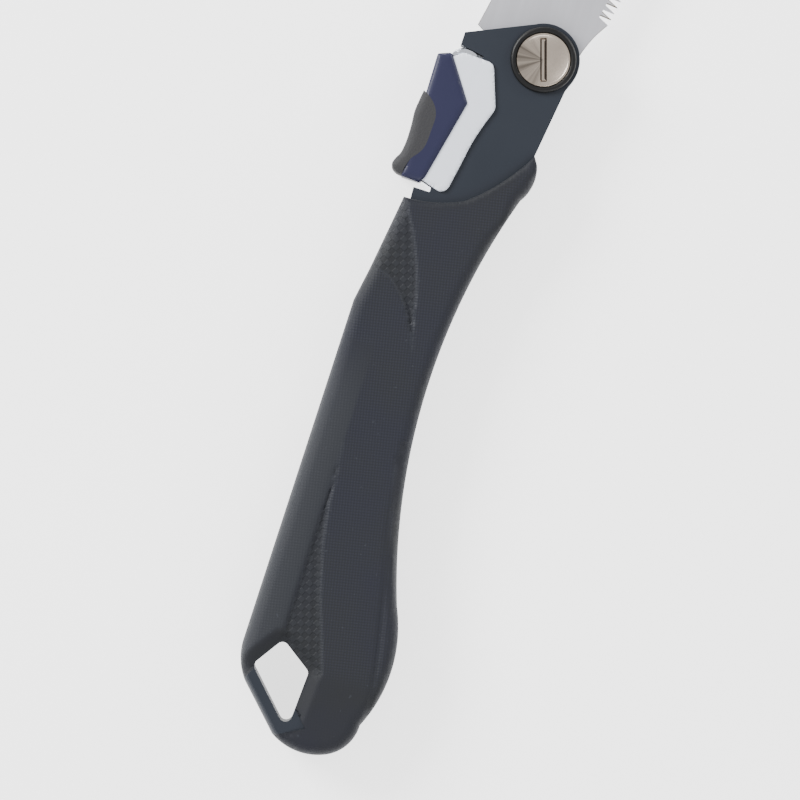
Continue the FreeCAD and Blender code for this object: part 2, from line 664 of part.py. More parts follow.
def pivot_parts():
    """Everything on the pivot's axis."""
    washer_low = "(blade_thick / 2 + slot_gap)"
    bore = "sleeve_round"
    return [
        pivot_bolt(),
        pivot_nut(),
        ring("pivot_sleeve", "sleeve_round", "shank_round + shank_gap", f"0 - {NUT_FLOOR}",
             COLLAR_FLOOR),
        ring("spring_washer", "spring_washer_outer", "shank_round",
             f"0 - {NUT_FLOOR} - spring_washer_thick", f"0 - {NUT_FLOOR}"),
        ring("blade_washer_front", "washer_outer", bore, washer_low, SLOT_HALF),
        ring("blade_washer_back", "washer_outer", bore, f"0 - {SLOT_HALF}", f"0 - {washer_low}"),
        ring("bolt_collar", "collar_round", COLLAR_INNER, COLLAR_FLOOR,
             f"{CORE_HALF} + collar_proud"),
        ring("nut_collar", "collar_round", COLLAR_INNER, f"0 - {CORE_HALF} - collar_proud",
             f"0 - {COLLAR_FLOOR}"),
    ]


def frame_blank():
    corners = [
        pt("frame_rear"),
        pt("frame_heel"),
        pt("frame_low"),
        pt("frame_nose"),
        pt("frame_front"),
        ("frame_crown_x", "frame_top_y"),
        ("frame_back_x", "frame_top_y"),
    ]
    body = polygon_slab("frame_blank", corners, f"{FRAME_OUTER} * 2")
    return round_edges(body, "frame_round", upright)


def cover_blank():
    corners = [
        pt("cover_front"),
        pt("cover_nose"),
        pt("cover_low"),
        pt("cover_rear"),
        pt("cover_top"),
    ]
    body = polygon_slab("cover_blank", corners, f"{COVER_OUTER} * 2")
    return round_edges(body, "cover_round", upright)


def pad_outline(outline):
    outline.start(pt("pad_rear"))
    outline.line(pt("pad_peak"))
    outline.line(pt("pad_end"))
    outline.arc(pt("pad_mid"), pt("pad_front"))
    outline.arc(pt("pad_low"), pt("pad_foot"))
    outline.close()


def claw():
    """The locking claw: a plate that drops behind the tang, under a riveted flange."""
    side_x = f"claw_tip_half * sin({CLAW_ANGLE} * 1deg)"
    side_y = f"claw_tip_half * cos({CLAW_ANGLE} * 1deg)"
    hook = polygon_slab("claw_plate", [
        polar("claw_tip_round", CLAW_ANGLE, side_x, f"0 - {side_y}"),
        polar("claw_neck_round", CLAW_ANGLE, side_x, f"0 - {side_y}"),
        pt("claw_front"),
        pt("claw_brow"),
        ("flange_front_x", BRIDGE_UNDER),
        ("claw_heel_x", BRIDGE_UNDER),
        pt("claw_back"),
        polar("claw_neck_round", CLAW_ANGLE, f"0 - {side_x}", side_y),
        polar("claw_tip_round", CLAW_ANGLE, f"0 - {side_x}", side_y),
    ], "claw_half * 2")
    flange = block("claw_flange", ("flange_rear_x", "flange_front_x"),
                   (f"{BRIDGE_UNDER} - flange_thick", BRIDGE_UNDER),
                   ("0 - flange_half", "flange_half"))
    return fuse("claw_blank", [hook, flange])


def rivet_rods(name):
    """Two rivets along Y through the claw's flange and the frame's bridge."""
    rods = []
    for index, side in enumerate(("rivet_half_span", "0 - rivet_half_span"), start=1):
        rod = doc.addObject("Part::Cylinder", f"{name}_{index}")
        rod.Placement.Rotation = FreeCAD.Rotation(FreeCAD.Vector(1, 0, 0), -90)
        bind(rod, Radius="rivet_round", Height="frame_web + flange_thick",
             Placement__Base__x="rivet_x", Placement__Base__y=f"{BRIDGE_UNDER} - flange_thick",
             Placement__Base__z=side)
        rods.append(rod)
    return rods


def lever_spring():
    """A compression spring of half turns, each tipped so that it ends where the next starts."""
    seat = f"({SEAT_TOP} + spring_wire)"
    rise = f"(({BRIDGE_UNDER} - {seat} - spring_wire) / spring_half_turns)"
    turns = []
    for index in range(int(sheet.get("spring_half_turns"))):
        side = 1 - 2 * (index % 2)
        height = f"{seat} + {index} * {rise}"
        wire = doc.addObject("Part::Circle", f"spring_section_{index}")
        bind(wire, Radius="spring_wire", Placement__Base__x=f"spring_x + {side} * spring_round",
             Placement__Base__y=height)
        turn = doc.addObject("Part::Revolution", f"spring_half_turn_{index}")
        turn.Source = wire
        turn.Solid = True
        turn.Angle = 180
        bind(turn, Axis__x=f"{side} * {rise}", Axis__y="2 * spring_round", Base__x="spring_x",
             Base__y=f"{height} + {rise} / 2")
        turn.setExpression("Axis.z", "0")
        turns.append(turn)
    return fuse("lever_spring", turns)


def lever_parts():
    """The thumb lever: frame, cover, pad, claw, rivets, and the pin and spring it works on."""
    frame = frame_blank()
    x = ("frame_rear_x - frame_plate", "frame_front_x + frame_plate")
    inside = block("frame_inside", x, ("0 - back_y", BRIDGE_UNDER),
                   (f"0 - {FRAME_INNER}", FRAME_INNER))
    hinge = cylinder("frame_bore", "lever_pin_round + lever_pin_gap", "0 - grip_thick",
                     "grip_thick", "lever_x", "lever_y")
    frame_tools = fuse("frame_tools", [inside, hinge] + rivet_rods("frame_rivet_bore"))
    pad_blank = slab("pad_blank", pad_outline, f"{COVER_OUTER} * 2")
    claw_bores = fuse("claw_bores", rivet_rods("claw_rivet_bore"))
    claw_slot = block("claw_slot", ("claw_back_x", "0"), ("0", f"{BRIDGE_UNDER} + claw_gap"),
                      ("0 - claw_half - claw_gap", "claw_half + claw_gap"))
    return [
        cut("lever_frame", frame, frame_tools),
        cut("thumb_cover", cover_blank(), fuse("cover_tools", [frame, pad_blank, claw_slot])),
        cut("thumb_pad", pad_blank, frame),
        cut("lock_claw", claw(), claw_bores),
        fuse("claw_rivets", rivet_rods("rivet")),
        cylinder("lever_pin", "lever_pin_round", f"0 - {FRAME_OUTER} + lever_side_gap",
                 f"{FRAME_OUTER} - lever_side_gap", "lever_x", "lever_y"),
        lever_spring(),
    ]


def build():
    """Every sub-part of the saw."""
    grip = slab("grip_blank", grip_outline, "grip_thick")
    round_edges(grip, "grip_round", handle_rim)
    core = slab("core_blank", core_outline, "core_thick")
    strip = common("strip_block", [grip, strip_prism("strip_region", "strip_half * 2")])
    hole = hole_tool()
    pieces = shells(fuse("core_whole", [core, strip]), hole)
    pieces.append(grip_overmould(grip, core, hole))
    pieces.append(blade())
    pieces += pivot_parts()
    pieces.append(cylinder("stop_pin", "stop_round", "0 - stop_half", "stop_half", "stop_x",
                           "stop_y"))
    pieces.append(fuse("shell_dowels", dowel_rods("dowel")))
    pieces += lever_parts()
    doc.recompute()
    return pieces


def check(pieces):
    """Stop if any object failed or any sub-part is empty or invalid."""
    for item in doc.Objects:
        if "Invalid" in item.State or "Error" in item.State:
            raise RuntimeError(f"{item.Label} failed: {item.State}")
    for piece in pieces:
        if piece.Shape.isNull() or not piece.Shape.isValid() or not piece.Shape.Solids:
            raise RuntimeError(f"{piece.Label} has no valid solid")


def settle(pieces):
    """Move the saw so that its bounding box stands on the origin."""
    box = FreeCAD.BoundBox()
    for piece in pieces:
        box.add(piece.Shape.optimalBoundingBox(False))
    move = FreeCAD.Vector(-box.Center.x, -box.Center.y, -box.ZMin)
    for piece in pieces:
        for place in ("Base.x", "Base.y", "Base.z"):
            piece.setExpression(f"Placement.{place}", None)
        piece.Placement.Base = piece.Placement.Base + move
    doc.recompute()
    print("moved by", move, "size", box.XLength, box.YLength, box.ZLength)


pieces = build()
check(pieces)
settle(pieces)
check(pieces)
os.makedirs("parts", exist_ok=True)
for piece in pieces:
    piece.Shape.exportStep(f"parts/{piece.Label}.step")
    print(f"{piece.Label}: {len(piece.Shape.Solids)} solid, {piece.Shape.Volume:.1f} mm3")
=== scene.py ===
"""The looks of a folding pruning saw, modelled around its packed construction frame."""

import json
import logging
import math
from dataclasses import dataclass, field
from enum import Enum
from typing import Callable, Iterable, Union

import bmesh
import bpy
import numpy as np
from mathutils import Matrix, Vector
from mathutils.geometry import delaunay_2d_cdt


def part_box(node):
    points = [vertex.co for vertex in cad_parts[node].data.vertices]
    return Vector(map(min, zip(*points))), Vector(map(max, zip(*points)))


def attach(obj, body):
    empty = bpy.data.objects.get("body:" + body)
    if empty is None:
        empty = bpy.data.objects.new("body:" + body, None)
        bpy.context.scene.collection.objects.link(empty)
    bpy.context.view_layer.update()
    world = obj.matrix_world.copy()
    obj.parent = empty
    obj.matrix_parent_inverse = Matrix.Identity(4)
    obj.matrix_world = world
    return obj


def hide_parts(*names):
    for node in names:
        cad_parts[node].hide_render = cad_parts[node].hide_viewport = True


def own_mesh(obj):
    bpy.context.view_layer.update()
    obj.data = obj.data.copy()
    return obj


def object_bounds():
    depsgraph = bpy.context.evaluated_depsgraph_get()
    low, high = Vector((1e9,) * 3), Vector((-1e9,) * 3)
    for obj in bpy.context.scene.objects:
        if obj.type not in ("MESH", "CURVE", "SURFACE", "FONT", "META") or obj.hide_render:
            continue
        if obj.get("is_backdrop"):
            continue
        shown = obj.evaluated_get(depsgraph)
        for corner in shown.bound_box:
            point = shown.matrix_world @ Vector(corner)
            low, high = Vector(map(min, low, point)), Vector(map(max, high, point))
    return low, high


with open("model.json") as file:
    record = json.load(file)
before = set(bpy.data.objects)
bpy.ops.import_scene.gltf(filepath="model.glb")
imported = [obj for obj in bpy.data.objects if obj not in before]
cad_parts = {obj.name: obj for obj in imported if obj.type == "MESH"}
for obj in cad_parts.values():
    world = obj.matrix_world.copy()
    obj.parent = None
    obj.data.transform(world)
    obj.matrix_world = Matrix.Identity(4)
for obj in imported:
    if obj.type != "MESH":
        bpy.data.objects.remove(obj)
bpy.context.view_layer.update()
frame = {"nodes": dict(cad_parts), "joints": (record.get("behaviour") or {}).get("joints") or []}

MM = 0.001
BUTT_BULGE = 0.077  # what the rounded butt adds past the corner that it is walked from, in mm
Point = tuple[float, float]
log = logging.getLogger("pruning_saw")


# ----- shared places


@dataclass(frozen=True)
class Bench:
    """Turns millimetres about the blade's pivot into the frame's metres.

    Attributes:
        pivot: The blade hinge's place in the frame, in metres.
    """

    pivot: Vector

    @classmethod
    def from_record(cls) -> "Bench":
        """Read the pivot from the frame's blade hinge."""
        hinge = next(j for j in frame["joints"] if j["name"] == "blade_fold")
        return cls(Vector(hinge["pos_m"]))

    def place(self, x: float, y: float, z: float) -> Vector:
        """Return the frame position of a point given in millimetres from the pivot."""
        return self.pivot + Vector((x, y, z)) * MM

    def butt(self) -> float:
        """Return the x that the butt is drawn from, just inside its bulge, in millimetres."""
        return (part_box("grip_overmould")[0].x - self.pivot.x) / MM + BUTT_BULGE

    def side(self, node: str) -> float:
        """Return how far a node reaches from the blade's plane, in millimetres."""
        return (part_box(node)[1].z - self.pivot.z) / MM


BENCH = Bench.from_record()


# ----- outlines


def arc_through(start: Point, middle: Point, end: Point, step: float) -> list[Point]:
    """Walk a circular arc through three points.

    Args:
        start: First point, left out of the result.
        middle: A point on the arc.
        end: Last point, kept in the result.
        step: Wanted distance between points.

    Returns:
        The points after start, up to and including end.
    """
    (ax, ay), (bx, by), (cx, cy) = start, middle, end
    d = 2 * (ax * (by - cy) + bx * (cy - ay) + cx * (ay - by))
    a2, b2, c2 = ax * ax + ay * ay, bx * bx + by * by, cx * cx + cy * cy
    ox = (a2 * (by - cy) + b2 * (cy - ay) + c2 * (ay - by)) / d
    oy = (a2 * (cx - bx) + b2 * (ax - cx) + c2 * (bx - ax)) / d
    radius = math.hypot(ax - ox, ay - oy)
    turns = [math.atan2(y - oy, x - ox) for x, y in (start, middle, end)]
    sweep = (turns[2] - turns[0]) % math.tau
    if (turns[1] - turns[0]) % math.tau > sweep:
        sweep -= math.tau
    count = max(2, round(abs(sweep) * radius / step))
    return [(ox + radius * math.cos(turns[0] + sweep * i / count),
             oy + radius * math.sin(turns[0] + sweep * i / count)) for i in range(1, count + 1)]


@dataclass
class Outline:
    """A flat outline walked in lines and arcs, in millimetres from the pivot.

    Attributes:
        points: The points so far.
        step: Distance between points along an edge.
    """

    points: list[Point]
    step: float = 0.8

    def line(self, *ends: Point) -> "Outline":
        """Walk straight to each end in turn.

        Args:
            *ends: Where to walk.

        Returns:
            The same outline.
        """
        for end in ends:
            ax, ay = self.points[-1]
            count = max(1, round(math.dist((ax, ay), end) / self.step))
            self.points += [(ax + (end[0] - ax) * i / count, ay + (end[1] - ay) * i / count)
                            for i in range(1, count + 1)]
        return self

    def arc(self, middle: Point, end: Point) -> "Outline":
        """Walk an arc through a middle point to an end."""
        self.points += arc_through(self.points[-1], middle, end, self.step)
        return self

    def curve(self, *ends: Point) -> "Outline":
        """Walk a smooth spline through the last point and each end in turn.

        Args:
            *ends: What the spline passes through.

        Returns:
            The same outline.
        """
        knots = np.array([self.points[-1], *ends])
        knots = np.vstack([2 * knots[0] - knots[1], knots, 2 * knots[-1] - knots[-2]])
        for p0, p1, p2, p3 in zip(knots, knots[1:], knots[2:], knots[3:]):
            count = max(1, round(float(np.linalg.norm(p2 - p1)) / self.step))
            for i in range(1, count + 1):
                t = i / count
                p = 0.5 * (2 * p1 + (p2 - p0) * t + (2 * p0 - 5 * p1 + 4 * p2 - p3) * t * t
                           + (3 * p1 - p0 - 3 * p2 + p3) * t ** 3)
                self.points.append((float(p[0]), float(p[1])))
        return self

    def closed(self) -> np.ndarray:
        """Walk back to the start and return the loop as an array without a repeated point."""
        self.line(self.points[0])
        return np.array(self.points[:-1])


def circle(radius: float, count: int, centre: Point = (0.0, 0.0)) -> list[Point]:
    """Return the evenly spaced points of a circle."""
    return [(centre[0] + radius * math.cos(math.tau * i / count),
             centre[1] + radius * math.sin(math.tau * i / count)) for i in range(count)]


def oblong(x0: float, y0: float, x1: float, y1: float) -> np.ndarray:
    """Return the corners of an upright rectangle."""
    return np.array([(x0, y0), (x1, y0), (x1, y1), (x0, y1)])


def spun(degrees: float) -> np.ndarray:
    """Return the matrix that turns rows of points by an angle."""
    turn = math.radians(degrees)
    return np.array([[math.cos(turn), math.sin(turn)], [-math.sin(turn), math.cos(turn)]])


def unit(rows: np.ndarray) -> np.ndarray:
    """Scale each row to a length of one."""
    return rows / np.maximum(np.linalg.norm(rows, axis=1, keepdims=True), 1e-9)


def left(rows: np.ndarray) -> np.ndarray:
    """Turn each row a quarter turn to the left."""
    return np.stack([-rows[:, 1], rows[:, 0]], 1)


def rounded(corners: Union[np.ndarray, list[Point]], radii: Union[float, list[float]],
            steps: int = 6) -> np.ndarray:
    """Round the corners of a polygon.

    Args:
        corners: The polygon's corners.
        radii: One radius for all corners, or one for each.
        steps: Edges in each rounded corner.

    Returns:
        The rounded loop as an array of points.
    """
    loop = []
    sizes = [radii] * len(corners) if isinstance(radii, (int, float)) else radii
    for i, corner in enumerate(corners):
        here = np.array(corner)
        back = np.array(corners[i - 1]) - here
        ahead = np.array(corners[(i + 1) % len(corners)]) - here
        room = 0.45 * min(np.linalg.norm(back), np.linalg.norm(ahead))
        back, ahead = back / np.linalg.norm(back), ahead / np.linalg.norm(ahead)
        half = math.acos(max(-1.0, min(1.0, float(back @ ahead)))) / 2
        trim = min(sizes[i] / math.tan(half), room)
        start, end = here + back * trim, here + ahead * trim
        for k in range(steps + 1):
            t = k / steps
            loop.append((1 - t) ** 2 * start + 2 * t * (1 - t) * here + t * t * end)
    return np.array(loop)


def inset(loop: np.ndarray, depth: Union[float, np.ndarray]) -> np.ndarray:
    """Move a loop inwards, whichever way round it is walked.

    Args:
        loop: The loop's points.
        depth: How far to move, once for all points or in a row for each.

    Returns:
        The moved points.
    """
    x, y = loop.T
    way = np.sign(np.sum(x * np.roll(y, -1) - np.roll(x, -1) * y))
    before = left(unit(loop - np.roll(loop, 1, axis=0)))
    after = left(unit(np.roll(loop, -1, axis=0) - loop))
    mean = unit(before + after)
    stretch = np.maximum(np.sum(mean * before, axis=1, keepdims=True), 0.5)
    return loop + way * mean / stretch * depth


def away(points: np.ndarray, line: np.ndarray, closed: bool = False) -> np.ndarray:
    """Measure each point's distance from a polyline.

    Args:
        points: The points, one to a row.
        line: The polyline's points.
        closed: Whether the polyline's ends are joined.

    Returns:
        One distance for each point.
    """
    ends = np.roll(line, -1, axis=0) if closed else line[1:]
    starts = line if closed else line[:-1]
    best = np.full(len(points), 1e9)
    for a, b in zip(starts, ends):
        run = b - a
        t = np.clip((points - a) @ run / max(float(run @ run), 1e-12), 0, 1)
        best = np.minimum(best, np.linalg.norm(points - a - t[:, None] * run, axis=1))
    return best


def within(points: np.ndarray, loop: np.ndarray) -> np.ndarray:
    """Tell which points lie inside a loop.

    Args:
        points: The points, one to a row.
        loop: The loop's points.

    Returns:
        True or False for each point.
    """
    inside = np.zeros(len(points), bool)
    x, y = points[:, 0], points[:, 1]
    for (ax, ay), (bx, by) in zip(loop, np.roll(loop, -1, axis=0)):
        crosses = (ay > y) != (by > y)
        if ay != by:
            inside ^= crosses & (x < (bx - ax) * (y - ay) / (by - ay) + ax)
    return inside


def ramp(value: np.ndarray, low: float, high: float) -> np.ndarray:
    """Rise smoothly from 0 at low to 1 at high."""
    t = np.clip((value - low) / (high - low), 0, 1)
    return t * t * (3 - 2 * t)


def nearness(points: np.ndarray, line: np.ndarray, width: float) -> np.ndarray:
    """Fall smoothly from 1 on a polyline to nearly 0 at twice a width from it."""
    return np.exp(-(away(points, line) / width) ** 2)


# ----- mesh making


def placed(name: str, data: bpy.types.ID) -> bpy.types.Object:
    """Make an object and link it to the scene.

    Args:
        name: The object's name.
        data: Its mesh, light or camera.

    Returns:
        The new object.
    """
    thing = bpy.data.objects.new(name, data)
    bpy.context.scene.collection.objects.link(thing)
    return thing


def shade(thing: bpy.types.Object, angle: float = 32.0) -> bpy.types.Object:
    """Shade a mesh smooth.

    Args:
        thing: The mesh object.
        angle: Its edges stay sharp above this angle in degrees.

    Returns:
        The same object.
    """
    thing.data.shade_smooth()
    thing.data.set_sharp_from_angle(angle=math.radians(angle))
    return thing


def mesh_object(name: str, points: Iterable, faces: Iterable, angle: float = 32.0
                ) -> bpy.types.Object:
    """Make a mesh object whose points are given in millimetres from the pivot.

    Args:
        name: The object's name.
        points: Corners as x, y, z.
        faces: Corner numbers of each face.
        angle: Sharp edge angle in degrees.

    Returns:
        The new object, linked to the scene.
    """
    mesh = bpy.data.meshes.new(name)
    mesh.from_pydata([BENCH.place(*map(float, p)) for p in points], [], [list(f) for f in faces])
    work = bmesh.new()
    work.from_mesh(mesh)
    bmesh.ops.recalc_face_normals(work, faces=work.faces)
    work.to_mesh(mesh)
    work.free()
    return shade(placed(name, mesh), angle)


def stack(name: str, rings: list[np.ndarray], angle: float = 32.0) -> bpy.types.Object:
    """Skin a stack of equal rings and cap both ends.

    Args:
        name: The object's name.
        rings: Arrays of x, y, z with the same number of points.
        angle: Sharp edge angle in degrees.

    Returns:
        The closed object.
    """
    count = len(rings[0])
    faces = [tuple(range(count))[::-1], tuple(range(count * (len(rings) - 1), count * len(rings)))]
    for level in range(len(rings) - 1):
        low, high = level * count, (level + 1) * count
        faces += [(low + i, low + (i + 1) % count, high + (i + 1) % count, high + i)
                  for i in range(count)]
    return mesh_object(name, np.vstack(rings), faces, angle)


def lift(loop: np.ndarray, z: float) -> np.ndarray:
    """Put a flat loop at a height."""
    return np.column_stack([loop, np.full(len(loop), z)])


def prism(name: str, loop: np.ndarray, low: float, high: float) -> bpy.types.Object:
    """Make a plain prism of a loop between two heights."""
    return stack(name, [lift(loop, low), lift(loop, high)])


def scatter(loop: np.ndarray, rows: list[np.ndarray], step: float) -> np.ndarray:
    """Spread points inside a loop: given rows first, then a lattice in what is left.

    Args:
        loop: The outline.
        rows: Points wanted along edges and features.
        step: Distance between the lattice's points.

    Returns:
        The points kept, none of them crowded.
    """
    low, high = loop.min(0), loop.max(0)
    xs, ys = np.meshgrid(np.arange(low[0], high[0], step), np.arange(low[1], high[1], step * 0.87))
    xs[1::2] += step / 2
    pool = np.vstack([*rows, np.stack([xs.ravel(), ys.ravel()], 1)])
    pool = pool[within(pool, loop)]
    pool = pool[away(pool, loop, True) > 0.12]
    kept, taken = [], set()
    for point in pool:
        cell = tuple(np.round(point / 0.42).astype(int))
        near = {(cell[0] + i, cell[1] + j) for i in (-1, 0, 1) for j in (-1, 0, 1)}
        if not near & taken:
            taken.add(cell)
            kept.append(point)
    return np.array(kept)


def relief_slab(name: str, loop: np.ndarray, rows: list[np.ndarray], step: float,
                height: Callable[[np.ndarray], np.ndarray], angle: float = 50.0
                ) -> tuple[bpy.types.Object, np.ndarray]:
    """Make a closed slab about the blade's plane whose faces follow a height.

    Args:
        name: The object's name.
        loop: The outline.
        rows: Points wanted along edges and features.
        step: Distance between the other points.
        height: Gives the face's height at each point.
        angle: Sharp edge angle in degrees.

    Returns:
        The slab, and the plan of its upper face's points.
    """
    ring = len(loop)
    spots = np.vstack([loop, scatter(loop, rows, step)])
    edges = [(i, (i + 1) % ring) for i in range(ring)]
    flat, _, faces, origins, _, _ = delaunay_2d_cdt([Vector(p) for p in spots], edges, [], 1, 1e-5)
    plan = np.array([tuple(p) for p in flat])
    top, count = height(plan), len(plan)
    points = np.vstack([np.column_stack([plan, top]), np.column_stack([plan, -top])])
    skin = [tuple(f) for f in faces] + [tuple(i + count for i in reversed(f)) for f in faces]
    place = {k: i for i, origin in enumerate(origins) for k in origin if k < ring}
    for k in range(ring):
        a, b = place[k], place[(k + 1) % ring]
        skin.append((b, a, a + count, b + count))
    return mesh_object(name, points, skin, angle), plan


def domed(name: str, loop: np.ndarray, top: float, radius: float, fall: float = 0.0,
          step: float = 0.8, rim: np.ndarray | None = None) -> bpy.types.Object:
    """Make a slab with rounded rims.

    Args:
        name: The object's name.
        loop: The outline.
        top: Height of the face.
        radius: The rims' radius.
        fall: Share of a full quarter round that the rims keep standing.
        step: Distance between the points of its faces.
        rim: The stretch of the outline that is rounded, if not all of it.

    Returns:
        The closed slab.
    """
    turns = np.radians((15, 30, 45, 60, 75, 90))

    def height(points: np.ndarray) -> np.ndarray:
        """Return the face's height at each point.

        Args:
            points: Places on the face.

        Returns:
            One height for each point.
        """
        gap = away(points, loop, True) if rim is None else away(points, rim)
        edge = np.minimum(gap, radius)
        drop = radius - np.sqrt(np.maximum(radius ** 2 - (radius - edge) ** 2, 0))
        return top - drop * (1 - fall)

    rows = [inset(loop, radius * (1 - math.cos(t))) for t in turns]
    return relief_slab(name, loop, rows, step, height)[0]


def lathe(name: str, profile: list[Point], segments: int = 96) -> bpy.types.Object:
    """Turn a closed profile of radius and height about the pivot.

    Args:
        name: The object's name.
        profile: Radius and height of each corner; a radius of 0 closes on the axis.
        segments: Steps round the axis.

    Returns:
        The turned object.
    """
    points, faces, rows = [], [], []
    for radius, z in profile:
        if radius == 0:
            rows.append([len(points)] * segments)
            points.append((0, 0, z))
            continue
        rows.append(list(range(len(points), len(points) + segments)))
        points += [(x, y, z) for x, y in circle(radius, segments)]
    for low, high in zip(rows, rows[1:] + rows[:1]):
        for i in range(segments):
            j = (i + 1) % segments
            face = list(dict.fromkeys([low[i], low[j], high[j], high[i]]))
            if len(face) > 2:
                faces.append(face)
    return mesh_object(name, points, faces)


def carve(thing: bpy.types.Object, cutters: list[bpy.types.Object], angle: float = 32.0
          ) -> bpy.types.Object:
    """Cut plain solids out of a mesh and remove them.

    Args:
        thing: The mesh to cut.
        cutters: The solids to take away.
        angle: Sharp edge angle in degrees afterwards.

    Returns:
        The same object with its new mesh.
    """
    for cutter in cutters:
        modifier = thing.modifiers.new(cutter.name, "BOOLEAN")
        modifier.object = cutter
        modifier.operation = "DIFFERENCE"
        modifier.solver = "EXACT"
    graph = bpy.context.evaluated_depsgraph_get()
    cut = bpy.data.meshes.new_from_object(thing.evaluated_get(graph))
    thing.modifiers.clear()
    thing.data = cut
    for cutter in cutters:
        bpy.data.objects.remove(cutter)
    return shade(thing, angle)


def softened(node: str, name: str, width: float, segments: int = 3, angle: float = 28.0
             ) -> bpy.types.Object:
    """Copy a node's solid with its edges broken by a small round.

    Args:
        node: The frame node to copy.
        name: The new piece's name.
        width: The round's width in millimetres.
        segments: Edges in the round.
        angle: The least angle, in degrees, of an edge that is rounded.

    Returns:
        The new piece, standing for the node.
    """
    work = bmesh.new()
    work.from_mesh(frame["nodes"][node].data)
    bmesh.ops.remove_doubles(work, verts=work.verts, dist=2e-6)
    bmesh.ops.dissolve_limit(work, angle_limit=math.radians(0.8), verts=work.verts,
                             edges=work.edges)
    edges = [e for e in work.edges if len(e.link_faces) == 2
             and e.calc_face_angle(0) > math.radians(angle)]
    bmesh.ops.bevel(work, geom=edges, offset=width * MM, segments=segments, profile=0.5,
                    affect="EDGES", clamp_overlap=True)
    bmesh.ops.triangulate(work, faces=[f for f in work.faces if len(f.verts) > 4])
    mesh = bpy.data.meshes.new(name)
    work.to_mesh(mesh)
    work.free()
    thing = shade(placed(name, mesh), 40)
    even = thing.modifiers.new("even_normals", "WEIGHTED_NORMAL")
    even.keep_sharp = True
    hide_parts(node)
    return thing


# ----- shader tools

Value = Union[float, "Wire"]


def operator(operation: str, flipped: bool = False) -> Callable[["Wire", Value], "Wire"]:
    """Make the method behind one of a wire's operators.

    Args:
        operation: The Math node's operation.
        flipped: Whether the wire stands on the right.

    Returns:
        The method.
    """
    def method(wire: "Wire", other: Value) -> "Wire":
        """Return the wire and the value joined by the operation."""
        return wire.maths(operation, *((other, wire) if flipped else (wire, other)))

    return method


class Wire:
    """A node socket that can be used in Python sums."""

    def __init__(self, shop: "Shop", socket: bpy.types.NodeSocket) -> None:
        """Keep the shop that owns the socket, and the socket."""
        self.shop = shop
        self.socket = socket

    def maths(self, operation: str, *values: Value) -> "Wire":
        """Add a Math node over values, in order."""
        return self.shop.add("ShaderNodeMath", {"operation": operation},
                             dict(enumerate(values)))["Value"]

    __add__, __radd__ = operator("ADD"), operator("ADD", True)
    __sub__, __rsub__ = operator("SUBTRACT"), operator("SUBTRACT", True)
    __mul__, __rmul__ = operator("MULTIPLY"), operator("MULTIPLY", True)

    def sine(self) -> "Wire":
        """Return the sine."""
        return self.maths("SINE", self)

    def clamped(self) -> "Wire":
        """Return the value held between 0 and 1."""
        return self.maths("MINIMUM", self.maths("MAXIMUM", self, 0), 1)


class Outputs:
    """The outputs of one node, read by name."""

    def __init__(self, shop: "Shop", node: bpy.types.Node) -> None:
        """Keep the shop and the node."""
        self.shop = shop
        self.node = node

    def __getitem__(self, name: str) -> Wire:
        """Return one output as a wire."""
        return Wire(self.shop, self.node.outputs[name])


